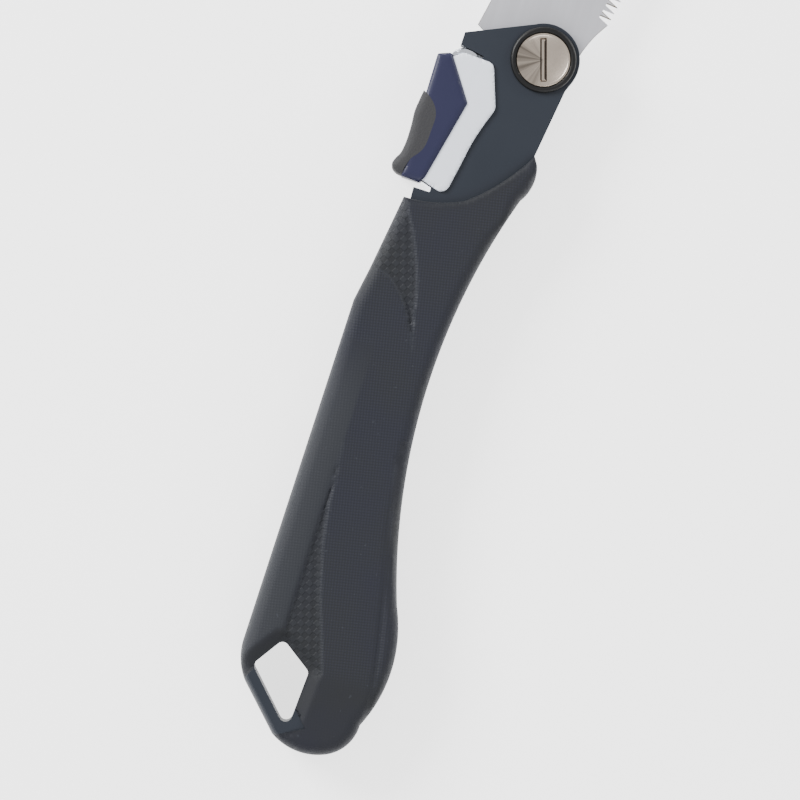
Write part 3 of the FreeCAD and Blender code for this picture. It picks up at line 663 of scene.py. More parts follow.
class Shop:
    """One material's node tree, and the single way nodes are added to it."""

    def __init__(self, name: str) -> None:
        """Start an empty material.

        Args:
            name: The material's name.
        """
        self.material = bpy.data.materials.new(name)
        self.material.use_nodes = True
        self.tree = self.material.node_tree
        self.tree.nodes.clear()

    def add(self, kind: str, settings: dict | None = None, inputs: dict | None = None) -> Outputs:
        """Add a node.

        Args:
            kind: The node's type.
            settings: Its properties, and "stops" for a ramp's positions and colours.
            inputs: Socket names or numbers, with values or wires.

        Returns:
            The node's outputs.
        """
        node = self.tree.nodes.new(kind)
        for name, setting in (settings or {}).items():
            if name == "stops":
                self.set_stops(node.color_ramp, setting)
            else:
                setattr(node, name, setting)
        for name, value in (inputs or {}).items():
            socket = node.inputs[name]
            if isinstance(value, Wire):
                self.tree.links.new(value.socket, socket)
            else:
                socket.default_value = value
        return Outputs(self, node)

    @staticmethod
    def set_stops(colour_ramp: bpy.types.ColorRamp, stops: list[tuple[float, tuple]]) -> None:
        """Give a ramp its stops.

        Args:
            colour_ramp: The ramp.
            stops: Each one's position and colour.
        """
        while len(colour_ramp.elements) < len(stops):
            colour_ramp.elements.new(0.5)
        for element, (place, colour) in zip(colour_ramp.elements, stops):
            element.position = place
            element.color = colour

    def place(self) -> Wire:
        """Return the object coordinates, in metres."""
        return self.add("ShaderNodeTexCoord")["Object"]

    def vector(self, operation: str, *values: Union[tuple, Wire]) -> Outputs:
        """Add a Vector Math node over values, in order."""
        return self.add("ShaderNodeVectorMath", {"operation": operation},
                        dict(enumerate(values)))

    def stretched(self, scale: tuple[float, float, float], turn: float = 0.0) -> Wire:
        """Return object coordinates scaled along each axis and turned about Z in degrees."""
        return self.add("ShaderNodeMapping", None, {
            "Vector": self.place(), "Scale": scale,
            "Rotation": (0, 0, math.radians(turn))})["Vector"]

    def noise(self, scale: float, detail: float = 3.0, rough: float = 0.55,
              vector: Wire | None = None) -> Wire:
        """Return a noise value from 0 to 1."""
        return self.add("ShaderNodeTexNoise", {"noise_dimensions": "3D"}, {
            "Vector": vector or self.place(), "Scale": scale, "Detail": detail,
            "Roughness": rough})["Fac"]

    def attribute(self, name: str) -> Wire:
        """Return a mesh attribute's value."""
        return self.add("ShaderNodeAttribute", {"attribute_name": name})["Fac"]

    def mix(self, factor: Value, first: Union[tuple, Wire], second: Union[tuple, Wire]) -> Wire:
        """Mix two colours."""
        node = self.add("ShaderNodeMix", {"data_type": "RGBA"}, {0: factor, 6: first, 7: second})
        return Wire(self, node.node.outputs[2])

    def bump(self, height: Wire, distance: float, strength: float = 1.0,
             normal: Wire | None = None) -> Wire:
        """Raise the surface by a height.

        Args:
            height: The height, from 0 to 1.
            distance: What a height of 1 stands for, in metres.
            strength: How much of it is used.
            normal: The normal that it is added to.

        Returns:
            The bumped normal.
        """
        inputs = {"Height": height, "Distance": distance, "Strength": strength}
        if normal:
            inputs["Normal"] = normal
        return self.add("ShaderNodeBump", None, inputs)["Normal"]

    def finish(self, **inputs: Union[float, tuple, Wire]) -> bpy.types.Material:
        """Close the tree with a surface shader.

        Args:
            **inputs: Shader sockets, with underscores for spaces.

        Returns:
            The finished material.
        """
        named = {name.replace("_", " "): value for name, value in inputs.items()}
        shader = self.add("ShaderNodeBsdfPrincipled", None, named)["BSDF"]
        self.add("ShaderNodeOutputMaterial", None, {"Surface": shader})
        return self.material


def colour(red: int, green: int, blue: int) -> tuple[float, float, float, float]:
    """Turn a screen colour of 0 to 255 into a linear one."""
    return (*(((c / 255 + 0.055) / 1.055) ** 2.4 if c > 10 else c / 3294
              for c in (red, green, blue)), 1.0)


def darker(tone: tuple, share: float) -> tuple[float, float, float, float]:
    """Scale a linear colour."""
    return (*(c * share for c in tone[:3]), 1.0)


# ----- finishes


@dataclass(frozen=True)
class Finish:
    """What a piece's surface is made of.

    Attributes:
        name: The material's name.
        tone: Its linear colour.
    """

    name: str
    tone: tuple

    def toned(self, share: float) -> tuple[float, float, float, float]:
        """Return the tone scaled by a share."""
        return darker(self.tone, share)

    def make(self) -> bpy.types.Material:
        """Build the material, which each finish does in its own way."""
        raise NotImplementedError


@dataclass(frozen=True)
class MouldedNylon(Finish):
    """Satin moulded plastic with a fine spark-eroded grain.

    Attributes:
        rough: Its middle roughness.
        grain: Size of the grain, as noise cells per metre.
        relief: Depth of the grain in metres.
        coat: Strength of a thin gloss over it.
    """

    rough: float = 0.42
    grain: float = 2600.0
    relief: float = 0.00004
    coat: float = 0.0

    def make(self) -> bpy.types.Material:
        """Build the material.

        Returns:
            The finished material.
        """
        shop = Shop(self.name)
        cloud = shop.noise(38.0, 4.0)
        grain = shop.noise(self.grain, 2.0)
        rub = shop.noise(240.0, 5.0, 0.7, shop.stretched((1, 5, 1), 24))
        flow = shop.noise(90.0, 2.0, 0.5, shop.stretched((0.35, 1, 1), -10))
        tone = shop.mix(cloud, self.toned(0.90), self.toned(1.12))
        tone = shop.mix((flow * 0.10).clamped(), tone, self.toned(1.5))
        worn = ((rub - 0.63) * 6).clamped()
        tone = shop.mix(worn * 0.16, tone, self.toned(1.7))
        rough = self.rough + (cloud - 0.5) * 0.10 + (grain - 0.5) * 0.10 - worn * 0.06
        return shop.finish(Base_Color=tone, Roughness=rough, Coat_Weight=self.coat,
                           Coat_Roughness=0.25, Specular_IOR_Level=0.35,
                           Normal=shop.bump(grain, self.relief, 0.5))


@dataclass(frozen=True)
class GripRubber(Finish):
    """Soft moulded rubber: a fine net on the panels, coarse checks in the recesses, painted
    highlights along its moulded lines and a painted sheen on the back band.

    Attributes:
        cool: Linear colour that shows through in its bluish cast.
        net: Pitch of the fine net in metres.
        check: Side of a coarse check in metres.
    """

    cool: tuple
    net: float = 0.00075
    check: float = 0.0021

    @staticmethod
    def crossed(shop: Shop, turn: float, pitch: float) -> Wire:
        """Cross two rows of waves.

        Args:
            shop: The material that they are added to.
            turn: Their direction in degrees.
            pitch: Half a wave's length in metres.

        Returns:
            Their product, from -1 to 1.
        """
        place = shop.stretched((1, 1, 1), turn)
        split = shop.add("ShaderNodeSeparateXYZ", None, {"Vector": place})
        wave = math.pi / pitch
        return (split["X"] * wave).sine() * (split["Y"] * wave).sine()

    def make(self) -> bpy.types.Material:
        """Build the material.

        Returns:
            The finished material.
        """
        shop = Shop(self.name)
        fine, coarse, edge, band_sheen = (
            shop.attribute(n) for n in ("fine_net", "coarse_check", "ridge", "back_band_sheen"))
        cloud, dust = shop.noise(30.0, 4.0), shop.noise(1500.0, 2.0)
        speck = ((shop.noise(520.0, 1.0) - 0.755) * 60).clamped()
        net = self.crossed(shop, 33, self.net) * 0.5 + 0.5
        board = (self.crossed(shop, 28, self.check) * 3 + 0.5).clamped()
        tone = shop.mix(((cloud - 0.36) * 2.2).clamped(), self.tone, self.cool)
        tone = shop.mix(net * fine * 0.34, tone, darker(self.cool, 2.0))
        tone = shop.mix(board * coarse * 0.34, tone, self.toned(1.9))
        # painted sheen: a lighter tone over the rounded back band
        tone = shop.mix(band_sheen * 0.75, tone, self.toned(1.9))
        # painted highlight: a lighter tone along the moulded lines
        tone = shop.mix(edge * 0.30, tone, self.toned(2.6))
        tone = shop.mix(speck * 0.22, tone, self.toned(5.0))
        rough = 0.66 + (cloud - 0.5) * 0.12 + (net - 0.5) * fine * 0.10 - edge * 0.10
        skin = shop.bump(dust, 0.00005, 0.35)
        skin = shop.bump(net * fine, 0.00012, 0.75, skin)
        skin = shop.bump(board * coarse, 0.00022, 0.8, skin)
        return shop.finish(Base_Color=tone, Roughness=rough, Normal=skin, Specular_IOR_Level=0.3,
                           Sheen_Weight=0.08, Sheen_Roughness=0.5)


@dataclass(frozen=True)
class PadRubber(Finish):
    """Matt rubber with a close pebble grain."""

    def make(self) -> bpy.types.Material:
        """Build the material.

        Returns:
            The finished material.
        """
        shop = Shop(self.name)
        pebble = shop.add("ShaderNodeTexVoronoi", {"feature": "SMOOTH_F1"}, {
            "Vector": shop.place(), "Scale": 1500.0, "Smoothness": 0.6})["Distance"]
        cloud = shop.noise(70.0, 4.0)
        tone = shop.mix(cloud, self.toned(0.82), self.toned(1.25))
        tone = shop.mix((pebble * 0.5).clamped(), self.toned(1.45), tone)
        rough = 0.70 + (cloud - 0.5) * 0.14 - pebble * 0.06
        return shop.finish(Base_Color=tone, Roughness=rough, Specular_IOR_Level=0.3,
                           Normal=shop.bump(pebble, 0.00012, 0.7))


@dataclass(frozen=True)
class GroundSteel(Finish):
    """Metal with fine straight grinding marks.

    Attributes:
        rough: Its middle roughness.
        turn: Direction of the marks from +X, in degrees.
        marks: Depth of the marks in metres.
        stain: How much faint staining shows, 0 to 1.
    """

    rough: float = 0.34
    turn: float = 0.0
    marks: float = 0.000012
    stain: float = 0.25

    def make(self) -> bpy.types.Material:
        """Build the material.

        Returns:
            The finished material.
        """
        shop = Shop(self.name)
        line = shop.noise(900.0, 4.0, 0.7, shop.stretched((0.03, 1, 1), self.turn))
        long_line = shop.noise(120.0, 3.0, 0.6, shop.stretched((0.05, 1, 1), self.turn))
        cloud = shop.noise(26.0, 5.0, 0.6)
        blot = ((cloud - 0.52) * 4).clamped()
        tone = shop.mix(line * 0.5 + long_line * 0.5, self.toned(0.90),
                        self.toned(1.06))
        tone = shop.mix(blot * self.stain * 0.4, tone, self.toned(0.72))
        rough = self.rough + (line - 0.5) * 0.12 + (cloud - 0.5) * 0.10
        return shop.finish(Base_Color=tone, Metallic=1.0, Roughness=rough,
                           Normal=shop.bump(line, self.marks, 0.5))


@dataclass(frozen=True)
class TurnedNickel(Finish):
    """Plated metal with the fine rings of a lathe about the pivot, and painted reflections: one
    side of the dish darker, broken by bright radial streaks.

    Attributes:
        pitch: Distance between rings in metres.
    """

    pitch: float = 0.00022

    def make(self) -> bpy.types.Material:
        """Build the material.

        Returns:
            The finished material.
        """
        shop = Shop(self.name)
        arm = shop.vector("SUBTRACT", shop.place(), tuple(BENCH.pivot))["Vector"]
        flat = shop.vector("MULTIPLY", arm, (1, 1, 0))["Vector"]
        radius = shop.vector("LENGTH", flat)["Value"]
        wobble = shop.noise(300.0, 2.0)
        rings = ((radius + wobble * self.pitch) * (math.tau / self.pitch)).sine() * 0.5 + 0.5
        cloud, pits = shop.noise(110.0, 5.0, 0.65), shop.noise(1400.0, 2.0)
        # painted reflection: the side of the head that faces away from the lights is darkened, with
        # bright radial streaks painted through it
        ray = shop.vector("NORMALIZE", flat)["Vector"]
        lee = shop.vector("DOT_PRODUCT", ray, (-0.45, 0.89, 0.0))["Value"]
        painted_glint = ((shop.noise(3.4, 2.0, 0.5, ray) - 0.42) * 5).clamped()
        painted_reflection = 1 - (lee * 1.8 - 0.35).clamped() * (1 - painted_glint * 0.8)
        tone = shop.mix(cloud, self.toned(0.82), self.toned(1.10))
        tone = shop.mix(painted_reflection, self.toned(0.36), tone)
        tone = shop.mix(((pits - 0.70) * 8).clamped() * 0.6, tone, self.toned(0.35))
        rough = 0.20 + (cloud - 0.45) * 0.20 + rings * 0.06
        return shop.finish(Base_Color=tone, Metallic=1.0, Roughness=rough,
                           Normal=shop.bump(rings * 0.5 + pits * 0.5, 0.00001, 0.6))


@dataclass(frozen=True)
class StudioPaper(Finish):
    """Plain pale paper under the saw."""

    def make(self) -> bpy.types.Material:
        """Build the material.

        Returns:
            The finished material.
        """
        shop = Shop(self.name)
        tooth = shop.noise(900.0, 3.0)
        tone = shop.mix(tooth, self.toned(0.99), self.tone)
        return shop.finish(Base_Color=tone, Roughness=0.9, Specular_IOR_Level=0.2,
                           Emission_Color=tone, Emission_Strength=2.2)


class Stock(Enum):
    """The finishes that the saw's pieces are made in."""

    CORE = MouldedNylon("slate_core_nylon", colour(31, 36, 45), 0.46)
    COVER = MouldedNylon("navy_cover_plastic", colour(31, 32, 60), 0.42, 2200.0, 0.00003, 0.05)
    COLLAR = MouldedNylon("black_collar_plastic", colour(10, 10, 11), 0.42)
    FRAME = MouldedNylon("pale_frame_enamel", colour(234, 239, 249), 0.36, 1200.0, 0.00003, 0.25)
    GRIP = GripRubber("textured_grip_rubber", colour(26, 28, 32), colour(24, 26, 38))
    PAD = PadRubber("pebbled_pad_rubber", colour(44, 44, 46))
    BLADE = GroundSteel("matt_blade_steel", colour(228, 228, 234), 0.42, 79.5)
    # darker steel for the plate's steep faces: partly the ground teeth's own colour, partly painted
    # shade
    EDGE = GroundSteel("ground_tooth_steel_and_painted_shade", colour(92, 84, 72), 0.30, 0.0, 0.00002, 0.1)
    BOLT = TurnedNickel("turned_bolt_nickel", colour(205, 192, 178))
    SLOT = TurnedNickel("shaded_slot_nickel", colour(92, 82, 74))
    STEEL = GroundSteel("zinc_steel", colour(196, 196, 194), 0.30, 30.0)
    BRASS = GroundSteel("washer_brass", colour(196, 160, 92), 0.30, 60.0)
    CLAW = GroundSteel("bright_claw_steel", colour(226, 230, 238), 0.26, 15.0)
    SPRING = GroundSteel("spring_wire_steel", colour(150, 150, 152), 0.30, 0.0)


MADE: dict[Stock, bpy.types.Material] = {}


def material(stock: Stock) -> bpy.types.Material:
    """Look a finish's material up, building it the first time.

    Args:
        stock: The finish.

    Returns:
        Its material.
    """
    if stock not in MADE:
        MADE[stock] = stock.value.make()
    return MADE[stock]


def dress(thing: bpy.types.Object, stock: Stock, *more: Stock) -> bpy.types.Object:
    """Give an object one finish, or several in slot order.

    Args:
        thing: The object.
        stock: Its first finish.
        *more: Its other finishes.

    Returns:
        The same object.
    """
    thing.data.materials.clear()
    for finish in (stock, *more):
        thing.data.materials.append(material(finish))
    return thing


def fit(thing: bpy.types.Object, body: str, slot: str, *nodes: str) -> bpy.types.Object:
    """Attach a piece to its body and hide the frame nodes that it replaces.

    Args:
        thing: The piece.
        body: The body it rides on.
        slot: The record's material slot; not used.
        nodes: Frame nodes that it replaces.

    Returns:
        The same piece.
    """
    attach(thing, body)
    if nodes:
        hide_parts(*nodes)
    log.info("%s rides on %s with %d faces", thing.name, body, len(thing.data.polygons))
    return thing


# ----- the grip


def grip_outline() -> np.ndarray:
    """Walk the soft grip's outline from its front lip round the butt and back.

    Returns:
        The outline's points.
    """
    butt = BENCH.butt()
    walk = Outline([(-37.7, -9.7)])
    walk.arc((-43.2, -10.8), (-51.8, -8.1)).arc((-125.6, 3.4), (butt + 61.7, -11.2))
    walk.arc((butt + 35.4, -16.3), (butt + 16.2, -11.5))
    walk.arc((butt + 7.0, -8.7), (butt + 1.9, -2.5)).arc((butt, 8.5), (butt + 3.4, 18.6))
    walk.line((butt + 19.0, 34.2)).arc((butt + 25.6, 38.0), (butt + 34.0, 39.4))
    walk.line((-106, 39.4), (-93, 37.3), (-64, 33.5))
    return walk.arc((-62.6, 22), (-58.6, 11.5)).arc((-49.5, 2), (-35, -7.9)).closed()


def hanging_hole() -> np.ndarray:
    """Return the hanging hole's rounded outline."""
    butt = BENCH.butt()
    return rounded([(butt + 37.9, 25.2), (butt + 25.6, 33.3), (butt + 5.7, 13.7),
                    (butt + 29.3, 12.6)], 2.5, 8)


def bare_strip() -> np.ndarray:
    """Return the corners of the region beside the hole that the soft grip leaves bare."""
    butt = BENCH.butt()
    return np.array([(butt + 31.1, 29.1), (butt + 9.3, 39.8), (butt - 2.2, 27.0),
                     (butt + 9.0, 7.5)])


def blade_room() -> list[Point]:
    """Return the corners of the blade's room in the handle."""
    end = BENCH.butt() + 38.3
    return [(60, -60), (60, 80), (-42.5, 80), (-42.5, 20.5), (-66, 20.5), (-70, 29.5),
            (end, 29.5), (end, -60)]


class Feature(Enum):
    """The lines moulded into the grip's faces: each one's knots, and how strongly its painted
    highlight shows.
    """

    UPPER_RIDGE = ((-63.5, 32.6), (-69.8, 29.3), (-76.4, 25.6), (-83.2, 22.6), (-90.1, 19.9),
                   (-99, 17.4), (-109.9, 15.1), (-117.2, 13.5)), 1.0
    UPPER_STEP = ((-91.5, 38.5), (-93.1, 31.4), (-96.2, 26.5), (-101.2, 21.8), (-107, 18),
                  (-113.7, 14.6), (-117.2, 13.5)), 0.9
    REAR_CREASE = ((-158, 26.7), (-190, 26.6), (-230, 26.3)), 0.5
    REAR_RIDGE = ((-158, 26.7), (-171.6, 25.3), (-183.1, 24.2), (-195.9, 22.1), (-204.8, 19.6),
                  (-215.5, 16.6), (-229.4, 11.6), (-241.7, 7.6)), 1.0
    FINGER_EDGE = ((-158, 6.6), (-168.5, 3.8), (-177.5, 1.5), (-189.7, -2.7), (-203.6, -8),
                   (-209.6, -11.1)), 1.0
    BUTT_CREASE = ((-172, 3.0), (-186.6, -0.5), (-201, -4), (-211.9, -6.4), (-226.4, -9.6),
                   (-241.2, -12), (-250.8, -12.4), (-258, -11.7)), 0.4

    def __init__(self, knots: tuple[Point, ...], share: float) -> None:
        """Walk the line through its knots and keep its share."""
        self.line = np.array(Outline([knots[0]], 0.6).curve(*knots[1:]).points)
        self.share = share


def panels() -> tuple[np.ndarray, np.ndarray, np.ndarray]:
    """Close the loops of the sunk panels.

    Returns:
        The checked panel behind the lever, the one in front of the hanging hole, and the smooth
        band along the finger side.
    """
    ridge, step, crease, rear, finger, _ = (feature.line for feature in Feature)
    return (np.vstack([ridge, step[::-1], [(-92, 60), (-62, 60)]]),
            np.vstack([crease, [(-234, 25.5), (-243, 9)], rear[::-1]]),
            np.vstack([finger, [(-209.6, -30), (-150, -30), (-150, 6)]]))


def sunk(points: np.ndarray, loop: np.ndarray, depth: float, slope: float) -> np.ndarray:
    """Return how deep each point lies in a panel of that depth, whose edge falls over a slope."""
    fall = depth * ramp(away(points, loop, True), 0, slope)
    return np.where(within(points, loop), fall, 0)


@dataclass
class GripRelief:
    """The moulded relief of the grip's faces, as heights in millimetres from the blade's plane.

    Attributes:
        outline: The grip's outline.
        hole: The hanging hole's outline.
        top: Height of the plain face.
        rim: Rounding of the rims behind the lever.
        lip: Rounding where the grip meets the bare head.
    """

    outline: np.ndarray
    hole: np.ndarray
    top: float
    rim: float = 4.5
    lip: float = 0.9

    def radii(self) -> np.ndarray:
        """Ease the rim's radius into the lip's.

        Returns:
            One radius for each point of the outline.
        """
        x, y = self.outline.T
        front = ramp(x, -70, -60) * np.maximum(ramp(y, -8, -4), ramp(x, -46, -38))
        return self.rim + (self.lip - self.rim) * front

    def height(self, points: np.ndarray) -> np.ndarray:
        """Return the face's height at each point.

        Args:
            points: Places on the face.

        Returns:
            One height for each point.
        """
        gaps = np.linalg.norm(points[:, None] - self.outline[None, ::2], axis=2)
        radius = self.radii()[::2][gaps.argmin(axis=1)]
        edge = np.minimum(away(points, self.outline, True), radius)
        z = self.top - radius + np.sqrt(np.maximum(radius ** 2 - (radius - edge) ** 2, 0))
        x, y = points.T
        upper, rear, finger = panels()
        for loop, depth, slope in ((upper, 0.75, 1.0), (rear, 1.0, 0.9), (finger, 0.8, 0.9)):
            z -= sunk(points, loop, depth, slope)
        hollow = ramp(x, -128, -100) * nearness(points, Feature.UPPER_STEP.line, 5.0)
        z -= 0.55 * hollow * within(points, upper)
        fade = ramp(-x, 170, 182) * ramp(x, -262, -250)
        z -= 0.65 * fade * nearness(points, Feature.BUTT_CREASE.line, 0.9)
        z -= 2.2 * (np.clip(y - 27, 0, 13) / 13) ** 2 * ramp(-x, 112, 140)
        z -= 0.25 * nearness(points, Feature.REAR_CREASE.line, 0.7)
        rise = 0.35 * nearness(points, Feature.REAR_RIDGE.line, 0.8)
        z += np.minimum(rise, self.top - z)
        bevel = 1 - np.clip(away(points, self.hole, True) / 4.6, 0, 1)
        strip = within(points, bare_strip())
        return z - np.where(strip, 0.3, 2.4) * bevel

    def marks(self, points: np.ndarray) -> dict[str, np.ndarray]:
        """Say how much of each texture, of the painted ridge highlight and of the painted sheen
        shows at each point.

        Args:
            points: Places on the face.

        Returns:
            For each texture, the painted highlight and the painted sheen, one share from 0 to 1 for
            each point.
        """
        x, y = points.T
        upper, rear, finger = panels()
        checks = np.maximum(sunk(points, upper, 1, 0.8), sunk(points, rear, 1, 0.8))
        edge = ramp(away(points, self.outline, True), 1.0, 4.0)
        plain = ramp(-x, 236, 246) * ramp(-y, -34, -8) + sunk(points, finger, 1, 1)
        near_hole = 1 - ramp(away(points, self.hole, True), 4.2, 6.0)
        net = (1 - checks) * (0.35 + 0.65 * edge) * (1 - 0.45 * ramp(y, 26, 27.5) * (x < -120))
        net *= (1 - np.clip(plain, 0, 1) * 0.8) * (1 - near_hole)
        # painted highlight: each moulded line is lightened along its length, faded near the outline
        ridge = np.zeros(len(points))
        for feature in Feature:
            ridge = np.maximum(ridge, feature.share * nearness(points, feature.line, 0.55))
        ridge *= edge
        # painted sheen: the rounded back band is lightened where its slope would catch the light
        band_sheen = ramp(y, 26.2, 27.4) * ramp(-x, 112, 150) * (1 - near_hole)
        return {"fine_net": net, "coarse_check": checks, "ridge": ridge, "back_band_sheen": band_sheen}


@dataclass
class Grip:
    """The soft overmoulded grip.

    Attributes:
        spacing: Distance between the points of its faces, in millimetres.
    """

    spacing: float = 1.0

    def shell(self, relief: GripRelief) -> bpy.types.Object:
        """Make the closed grip before anything is cut from it.

        Args:
            relief: The relief of its faces.

        Returns:
            The closed grip.
        """
        loop, radii = relief.outline, relief.radii()[:, None]
        rows = [inset(loop, radii * (1 - math.cos(math.radians(t)))) for t in (18, 36, 54, 72, 90)]
        for line in (feature.line for feature in Feature):
            side = unit(left(np.gradient(line, axis=0)))
            rows += [line + side * shift for shift in (0, 0.45, -0.45, 0.95, -0.95, 1.5, -1.5)]
        rows += [inset(relief.hole, -shift)[::2] for shift in (0.8, 2.4, 4.4, 4.9)]
        thing, plan = relief_slab("soft_grip", loop, rows, self.spacing, relief.height)
        for name, values in relief.marks(plan).items():
            layer = thing.data.attributes.new(name, "FLOAT", "POINT")
            layer.data.foreach_set("value", np.tile(values, 2).astype(np.float32))
        return thing

    def make(self) -> None:
        """Build, cut, dress and attach the grip."""
        relief = GripRelief(grip_outline(), hanging_hole(), BENCH.side("grip_overmould"))
        thing = self.shell(relief)
        core = inset(relief.outline, 2.5)
        core = core[away(core, relief.outline, True) > 2.42][::2]
        carve(thing, [prism("core_space", core, -10, 10),
                      prism("lips", np.array(blade_room()), -1.9, 1.9),
                      prism("hole", relief.hole, -20, 20),
                      prism("bare", bare_strip(), -20, 20)], 50)
        fit(dress(thing, Stock.GRIP), "handle", "grip_rubber", "grip_overmould")


# ----- the handle


@dataclass
class Core:
    """The two nylon half shells, with the pins that hold them together."""

    def make(self) -> None:
        """Build and attach the pieces."""
        for node in ("front_shell", "back_shell"):
            thing = dress(softened(node, f"{node}_moulding", 0.35), Stock.CORE)
            fit(thing, "handle", "core_nylon")
        for node in ("stop_pin", "shell_dowels", "lever_pin"):
            thing = dress(softened(node, f"{node}_turned", 0.2), Stock.STEEL)
            fit(thing, "handle", "pin_steel")


@dataclass
class Pivot:
    """The bolt, its collar, and the nut, washers and sleeve on the same axis.

    Attributes:
        head_top: Height of the bolt head's rim over the blade's plane.
        slot_angle: Turn of the coin slot from +X, in degrees.
    """

    head_top: float = 11.2
    slot_angle: float = 18.0

    def bolt(self) -> None:
        """Turn the dished bolt, cut its coin slot and paint shade into the slot."""
        top = self.head_top
        profile = [(0, -11.5), (3.6, -11.5), (4, -11.1), (4, 8), (9.7, 8), (10, 8.3),
                   (10, top - 0.35), (9.9, top - 0.1), (9.65, top), (9.25, top), (9.05, top - 0.08),
                   (8.8, top - 0.18), (4.8, top - 0.62), (0.8, top - 1.0), (0, top - 1.02)]
        thing = lathe("coin_bolt", profile, 160)
        spin = spun(self.slot_angle)

        def outline(length: float, width: float) -> np.ndarray:
            """Return a rounded rectangle, turned as the slot is."""
            corners = oblong(-length / 2, -width / 2, length / 2, width / 2)
            return rounded(corners, width * 0.16, 4) @ spin

        rings = [lift(outline(15.2, 1.3), top - 2.1), lift(outline(16.2, 2.4), top - 1.1),
                 lift(outline(16.2, 2.4), top + 1)]
        groove = outline(14.0, 0.5) + np.array([0.0, -0.55]) @ spin
        carve(thing, [stack("coin_slot", rings), prism("slot_root", groove, top - 2.9, top)], 24)
        dress(thing, Stock.BOLT, Stock.SLOT)
        # painted shade: the slot's walls and floor take the darker nickel
        for face in thing.data.polygons:
            place = (face.center - BENCH.pivot) / MM
            upright = abs(face.normal.z) < 0.5 and math.hypot(place.x, place.y) < 8.6
            face.material_index = int(place.z > 8.2 and (upright or place.z < top - 2.5))
        fit(thing, "handle", "bolt_nickel", "pivot_bolt")

    def collar(self, node: str, low: float, high: float) -> None:
        """Turn a collar with a rounded outer end.

        Args:
            node: The frame node it stands for.
            low: Height of its sunk end.
            high: Height of its outer end.
        """
        out = math.copysign(1, high)
        profile = [(10.2, low), (12.2, low), (12.2, high - 1.1 * out), (12.1, high - 0.6 * out),
                   (11.85, high - 0.22 * out), (11.45, high), (10.75, high),
                   (10.4, high - 0.12 * out), (10.2, high - 0.4 * out)]
        thing = dress(lathe(f"{node}_ring", profile, 144), Stock.COLLAR)
        fit(thing, "handle", "collar_black", node)

    def make(self) -> None:
        """Build and attach the pieces."""
        self.bolt()
        self.collar("bolt_collar", 8, 12)
        self.collar("nut_collar", -8, -12)
        for node, stock, slot in (("pivot_nut", Stock.STEEL, "nut_steel"),
                                  ("spring_washer", Stock.STEEL, "washer_brass"),
                                  ("pivot_sleeve", Stock.STEEL, "sleeve_steel"),
                                  ("blade_washer_front", Stock.BRASS, "washer_brass"),
                                  ("blade_washer_back", Stock.BRASS, "washer_brass")):
            thing = dress(softened(node, f"{node}_part", 0.15), stock)
            fit(thing, "handle", slot)


# ----- the blade


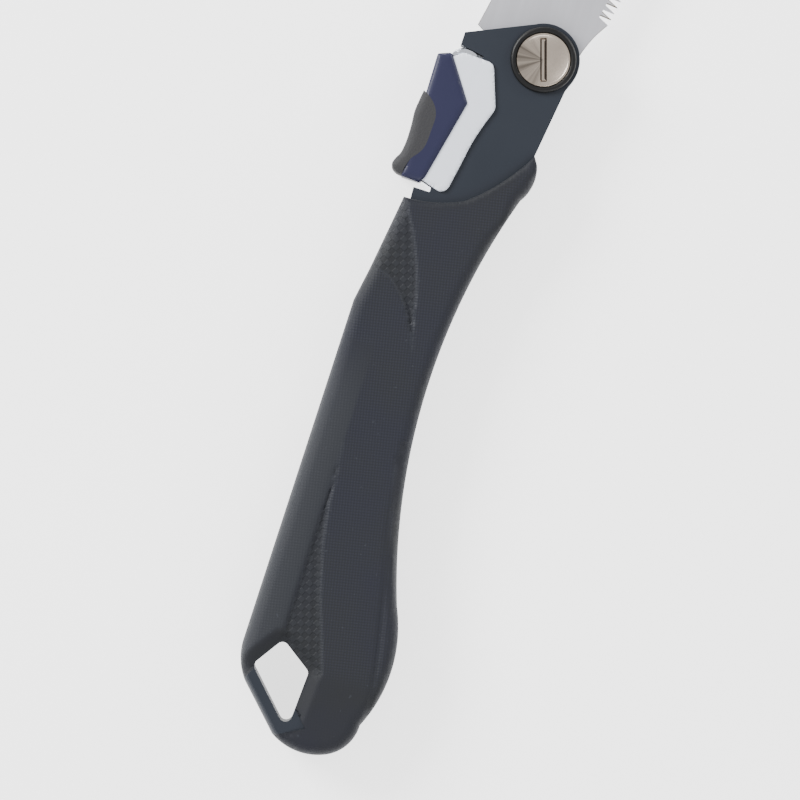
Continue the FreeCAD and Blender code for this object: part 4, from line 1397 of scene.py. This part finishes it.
@dataclass
class Blade:
    """The toothed plate, drawn along its own axis and then drooped to where it stands open.

    Attributes:
        droop: Turn of the blade's axis below +X, in degrees.
        reach: Pivot to the tip.
        first: Pivot to the first tooth.
        pitch: Tooth to tooth.
        tips: Height of the teeth's tips from the axis.
        gullets: Height of the gullets' floors from the axis.
        back: Height of the straight back from the axis.
        bore: Radius of the bore.
        half: Half the plate's thickness.
        worn: Width of the break round the plain edges.
    """

    droop: float = 10.5
    reach: float = field(default_factory=lambda: -BENCH.butt() - 41.5)
    first: float = 22.9
    pitch: float = 2.5
    tips: float = -14.9
    gullets: float = -10.6
    back: float = 27.7
    bore: float = 5.05
    half: float = field(default_factory=lambda: BENCH.side("blade"))
    worn: float = 0.16

    @staticmethod
    def polar(radius: float, angle: float) -> Point:
        """Return a point at a radius and an angle in degrees about the pivot."""
        return radius * math.cos(math.radians(angle)), radius * math.sin(math.radians(angle))

    def teeth(self) -> tuple[list[Point], list[Point], list[int]]:
        """Walk the gullets from the heel to the tip.

        Returns:
            The points, where each moves to on the face that its tooth is ground on, and 1 or -1
            for that face.
        """
        points, ground, sides = [], [], []
        tip, floor = self.tips, self.gullets
        for k in range(math.floor((self.reach - 2.4 - self.first) / self.pitch)):
            start = self.first + k * self.pitch
            end = start + self.pitch
            middle = start + self.pitch / 2 + 0.35
            side = 1 if k % 2 else -1
            points += [(start + 0.15, tip), (middle - 0.3, floor), (middle + 0.3, floor),
                       (end - 0.15, tip)]
            ground += [(start + 0.16, tip + 1.5), (middle - 0.75, floor), (middle + 0.75, floor),
                       (end + 0.1, tip + 1.5)]
            sides += [side, side, -side, -side]
        return points, ground, sides

    def outline(self) -> tuple[np.ndarray, np.ndarray, np.ndarray]:
        """Walk the plate's edge.

        Returns:
            The loop, the same loop once ground, and each point's ground side.
        """
        reach, back = self.reach, self.back
        tang, notch, boss = 21.6, 18.8, 11.6
        cut, ground, sides = self.teeth()
        heel = arc_through(self.polar(boss, 287), (13.0, -11.7), (self.first, self.tips), 0.8)
        rest = Outline([(cut[-1][0], self.tips)])
        rest.line((reach - 2.4, self.tips), (reach, back - 34.0))
        rest.arc((reach - 3.6, back - 22.6), (reach - 15, back - 15))
        rest.arc((135, 23.1), (40, back)).line((0.35, back), self.polar(tang, 94.7))
        rest.arc(self.polar(tang, 100.5), self.polar(tang, 106.3))
        rest.line(self.polar(notch, 111), self.polar(notch, 119), self.polar(tang, 119),
                  self.polar(tang, 122.5), self.polar(15, 127.5), self.polar(boss, 165))
        rest.arc(self.polar(boss, 226), self.polar(boss, 287))
        plain = rest.points[1:] + heel[:-1]
        loop = np.array(cut + plain)
        soft = inset(loop, self.worn)[len(cut):]
        return loop, np.vstack([ground, soft]), np.array(sides + [0] * len(plain))

    def make(self) -> None:
        """Build, dress and attach the blade."""
        loop, worked, sides = self.outline()
        spin = spun(-self.droop)
        rings = []
        for face in (-1, 1):
            facing, plain = sides == face, sides == 0
            cap = np.where((facing | plain)[:, None], worked, loop)
            shoulder = np.where(facing, -0.25, self.half - np.where(plain, self.worn, 0.04))
            pair = [lift(cap @ spin, face * self.half),
                    np.column_stack([loop @ spin, face * shoulder])]
            rings += pair if face < 0 else pair[::-1]
        thing = stack("toothed_plate", rings, 20)
        carve(thing, [prism("bore", np.array(circle(self.bore, 72)), -5, 5)], 20)
        dress(thing, Stock.BLADE, Stock.EDGE)
        for face in thing.data.polygons:
            # every steep face of the plate, teeth and plain edges alike, takes the darker edge
            # steel: partly the teeth's own colour, partly painted shade
            face.material_index = int(abs(face.normal.z) < 0.985)
        fit(thing, "blade", "blade_steel", "blade")


# ----- the lever


@dataclass
class Lever:
    """The thumb lever: pale frame, navy cover, rubber pad, claw, rivets and spring.

    Attributes:
        frame_half: Half the frame's width over its cheeks.
        cover_half: Half the cover's width.
        pin: The lever pin's place.
    """

    frame_half: float = field(default_factory=lambda: BENCH.side("lever_frame"))
    cover_half: float = field(default_factory=lambda: BENCH.side("thumb_cover"))
    pin: Point = (-30.0, 25.0)

    @staticmethod
    def frame_loop() -> np.ndarray:
        """Walk the frame's outline, with its bowed lower edge.

        Returns:
            The outline's points.
        """
        walk = Outline([(-57.9, 23.2)], 0.7)
        walk.curve((-58.2, 21.6), (-57.3, 19.7), (-55.5, 18.7))
        walk.curve((-46.8, 17.2), (-37.4, 15.6), (-29.7, 13.5), (-25.1, 11.9))
        walk.curve((-23.6, 11.5), (-22.1, 11.5)).line((-9.0, 16.3))
        walk.curve((-7.5, 17.2), (-6.9, 18.8)).line((-6.5, 27.6))
        walk.curve((-6.7, 29.0), (-7.6, 30.2)).line((-11, 34.6))
        return walk.line((-12, 35), (-53, 35)).curve((-54.4, 34.4), (-55, 33)).closed()

    @staticmethod
    def cover_loop() -> np.ndarray:
        """Return the cover's outline."""
        return rounded([(-9.8, 37.9), (-7.9, 33.0), (-24.0, 21.7), (-54.7, 28.2), (-57.1, 29.6),
                        (-57.1, 36.9)], [1.0, 1.4, 1.6, 2.0, 1.2, 0.6], 6)

    @staticmethod
    def pad_back() -> Outline:
        """Walk the pad's outer side: heel, peak, thumb hollow and nose.

        Returns:
            The outline so far, which is still open.
        """
        walk = Outline([(-56.7, 36.8)], 0.6)
        return walk.curve((-56.4, 39.0), (-55.2, 40.9), (-53.4, 41.5), (-51.2, 40.8),
                          (-48.7, 39.6), (-43.9, 39.0), (-38.0, 39.1), (-32.8, 39.5),
                          (-28.3, 39.1), (-24.3, 38.6))

    def pad_loop(self) -> np.ndarray:
        """Walk the pad's outer side, then its edge against the cover.

        Returns:
            The outline's points.
        """
        walk = self.pad_back()
        walk.curve((-26.0, 35.7), (-28.0, 33.5), (-30.6, 31.9), (-33.5, 31.3), (-37.5, 31.4),
                   (-41.4, 31.5), (-44.6, 32.0), (-47.0, 33.2), (-50.1, 35.5), (-54.0, 36.7))
        return walk.closed()

    def pale_frame(self) -> None:
        """Make the folded frame, open underneath, with its pin holes and front shoulder."""
        half = self.frame_half
        pin_hole = np.array(circle(2.06, 48, self.pin))
        thing = domed("folded_frame", self.frame_loop(), half, 0.75)
        carve(thing, [prism("frame_space", oblong(-62, -20, 2, 33), 1.2 - half, half - 1.2),
                      prism("pin_hole", pin_hole, -20, 20)], 40)
        fit(dress(thing, Stock.FRAME), "lever", "frame_alloy", "lever_frame")
        walk = Outline([(-9.6, 33.2)], 0.4).curve((-7.9, 32.9), (-6.4, 31.9), (-5.1, 30.1),
                                                  (-4.8, 27.2), (-5.2, 25.0), (-5.75, 23.6))
        loop = walk.line((-6.6, 23.2), (-7.2, 25.4), (-7.6, 29.0)).closed()
        shoulder = domed("frame_shoulder", loop, half - 1.3, 0.8, step=0.5)
        carve(shoulder, [prism("claw_way", oblong(-20, 0, 0, 40), -1.7, 1.7)], 40)
        fit(dress(shoulder, Stock.CLAW), "lever", "frame_alloy")

    def cover_and_pad(self) -> None:
        """Make the cover over the frame's cheeks and back, and the pad let into it."""
        frame_space = [prism(f"cheek_space_{i}", self.frame_loop(), -self.frame_half + 0.02,
                             self.frame_half - 0.02) for i in range(2)]
        pad_loop = self.pad_loop()
        cover = domed("moulded_cover", self.cover_loop(), self.cover_half, 2.0, 0.5, 0.7)
        carve(cover, [frame_space[0], prism("pad_space", pad_loop, -20, 20),
                      prism("claw_way", oblong(-12, 0, 0, 33.3), -1.6, 1.6)], 40)
        fit(dress(cover, Stock.COVER), "lever", "cover_navy", "thumb_cover")
        pad = domed("moulded_pad", pad_loop, self.cover_half, 3.4, 0.45, 0.7,
                    np.array(self.pad_back().points))
        carve(pad, [frame_space[1]], 40)
        fit(dress(pad, Stock.PAD), "lever", "pad_rubber", "thumb_pad")

    def spring(self, turns: float = 4.5, steps: int = 24) -> None:
        """Wind the spring under the lever's heel (the real one shortens as the lever is pressed).

        Args:
            turns: Turns of the coil.
            steps: Rings of wire to a turn.
        """
        foot, head, wire, coil, place = 25.0, 33.0, 0.44, 2.6, -48.0
        around = np.radians(np.arange(0, 360, 30))[:, None]
        rings = []
        for i in range(round(turns * steps) + 1):
            turn = math.tau * i / steps
            out = np.array([math.cos(turn), 0.0, math.sin(turn)])
            rise = foot + wire + (head - foot - 2 * wire) * i / (turns * steps)
            rings.append(np.array([place, rise, 0]) + out * coil
                         + wire * (np.cos(around) * out + np.sin(around) * [0, 1, 0]))
        thing = dress(stack("heel_spring", rings, 50), Stock.SPRING)
        fit(thing, "handle", "spring_steel", "lever_spring")
        BENCH.place(place, foot, 0)
        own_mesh(thing)

    def make(self) -> None:
        """Build and attach the pieces."""
        self.pale_frame()
        self.cover_and_pad()
        fit(dress(softened("lock_claw", "claw_plate", 0.3), Stock.CLAW), "lever", "claw_steel")
        fit(dress(softened("claw_rivets", "rivets", 0.2), Stock.STEEL), "lever", "pin_steel")
        self.spring()


# ----- the studio


@dataclass
class Studio:
    """Floor, lights and camera.

    Attributes:
        centre: The view's middle, in millimetres from the pivot.
        width: Width of what the view shows, in millimetres.
        turn: Turn of the view's upright direction from +X, in degrees.
        distance: Camera's height over the saw, in metres.
    """

    centre: Point = (-136.0, 11.6)
    width: float = 296.0
    turn: float = 18.0
    distance: float = 3.0

    def light(self, name: str, place: tuple[float, float, float], size: float, watts: float
              ) -> None:
        """Add a square soft light that faces the saw.

        Args:
            name: The light's name.
            place: Its position in metres about the view's centre.
            size: Its side in metres.
            watts: Its strength.
        """
        lamp = bpy.data.lights.new(name, "AREA")
        lamp.size, lamp.energy = size, watts
        thing = placed(name, lamp)
        thing.location = BENCH.place(*self.centre, 0) + Vector(place)
        thing.rotation_euler = (-Vector(place)).to_track_quat("-Z", "Y").to_euler()

    def floor(self) -> None:
        """Lay the pale floor."""
        floor_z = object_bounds()[0][2] - 0.0002
        mesh = bpy.data.meshes.new("floor")
        mesh.from_pydata([(x, y, floor_z) for x, y in ((-4, -4), (4, -4), (4, 4), (-4, 4))], [],
                         [(0, 1, 2, 3)])
        mesh.materials.append(StudioPaper("studio_paper", colour(244, 244, 244)).make())
        placed("floor", mesh)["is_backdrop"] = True

    def camera(self) -> None:
        """Look straight down on the saw through a long lens."""
        lens = bpy.data.cameras.new("camera")
        lens.sensor_width = 36.0
        lens.lens = 36.0 * self.distance / (self.width * MM)
        lens.clip_end = 20
        thing = placed("camera", lens)
        thing.location = BENCH.place(*self.centre, 8) + Vector((0, 0, self.distance))
        thing.rotation_euler = (0, 0, math.radians(self.turn - 90))
        bpy.context.scene.camera = thing

    def make(self) -> None:
        """Set the stage."""
        world = bpy.data.worlds.new("studio")
        bpy.context.scene.world = world
        world.use_nodes = True
        sky = world.node_tree.nodes["Background"]
        sky.inputs["Color"].default_value = (1.0, 1.0, 1.0, 1.0)
        sky.inputs["Strength"].default_value = 0.84
        self.floor()
        self.light("key", (0.5, 1.3, 0.95), 0.7, 40)
        self.light("fill", (-1.0, -0.6, 1.2), 1.0, 8)
        self.light("rim", (1.1, -0.9, 0.5), 0.4, 7)
        self.camera()


def main() -> None:
    """Build the saw's looks and the studio."""
    logging.basicConfig(level=logging.INFO, format="%(name)s: %(message)s")
    Core().make()
    Grip().make()
    Pivot().make()
    Blade().make()
    Lever().make()
    Studio().make()


if __name__ == "__main__":
    main()
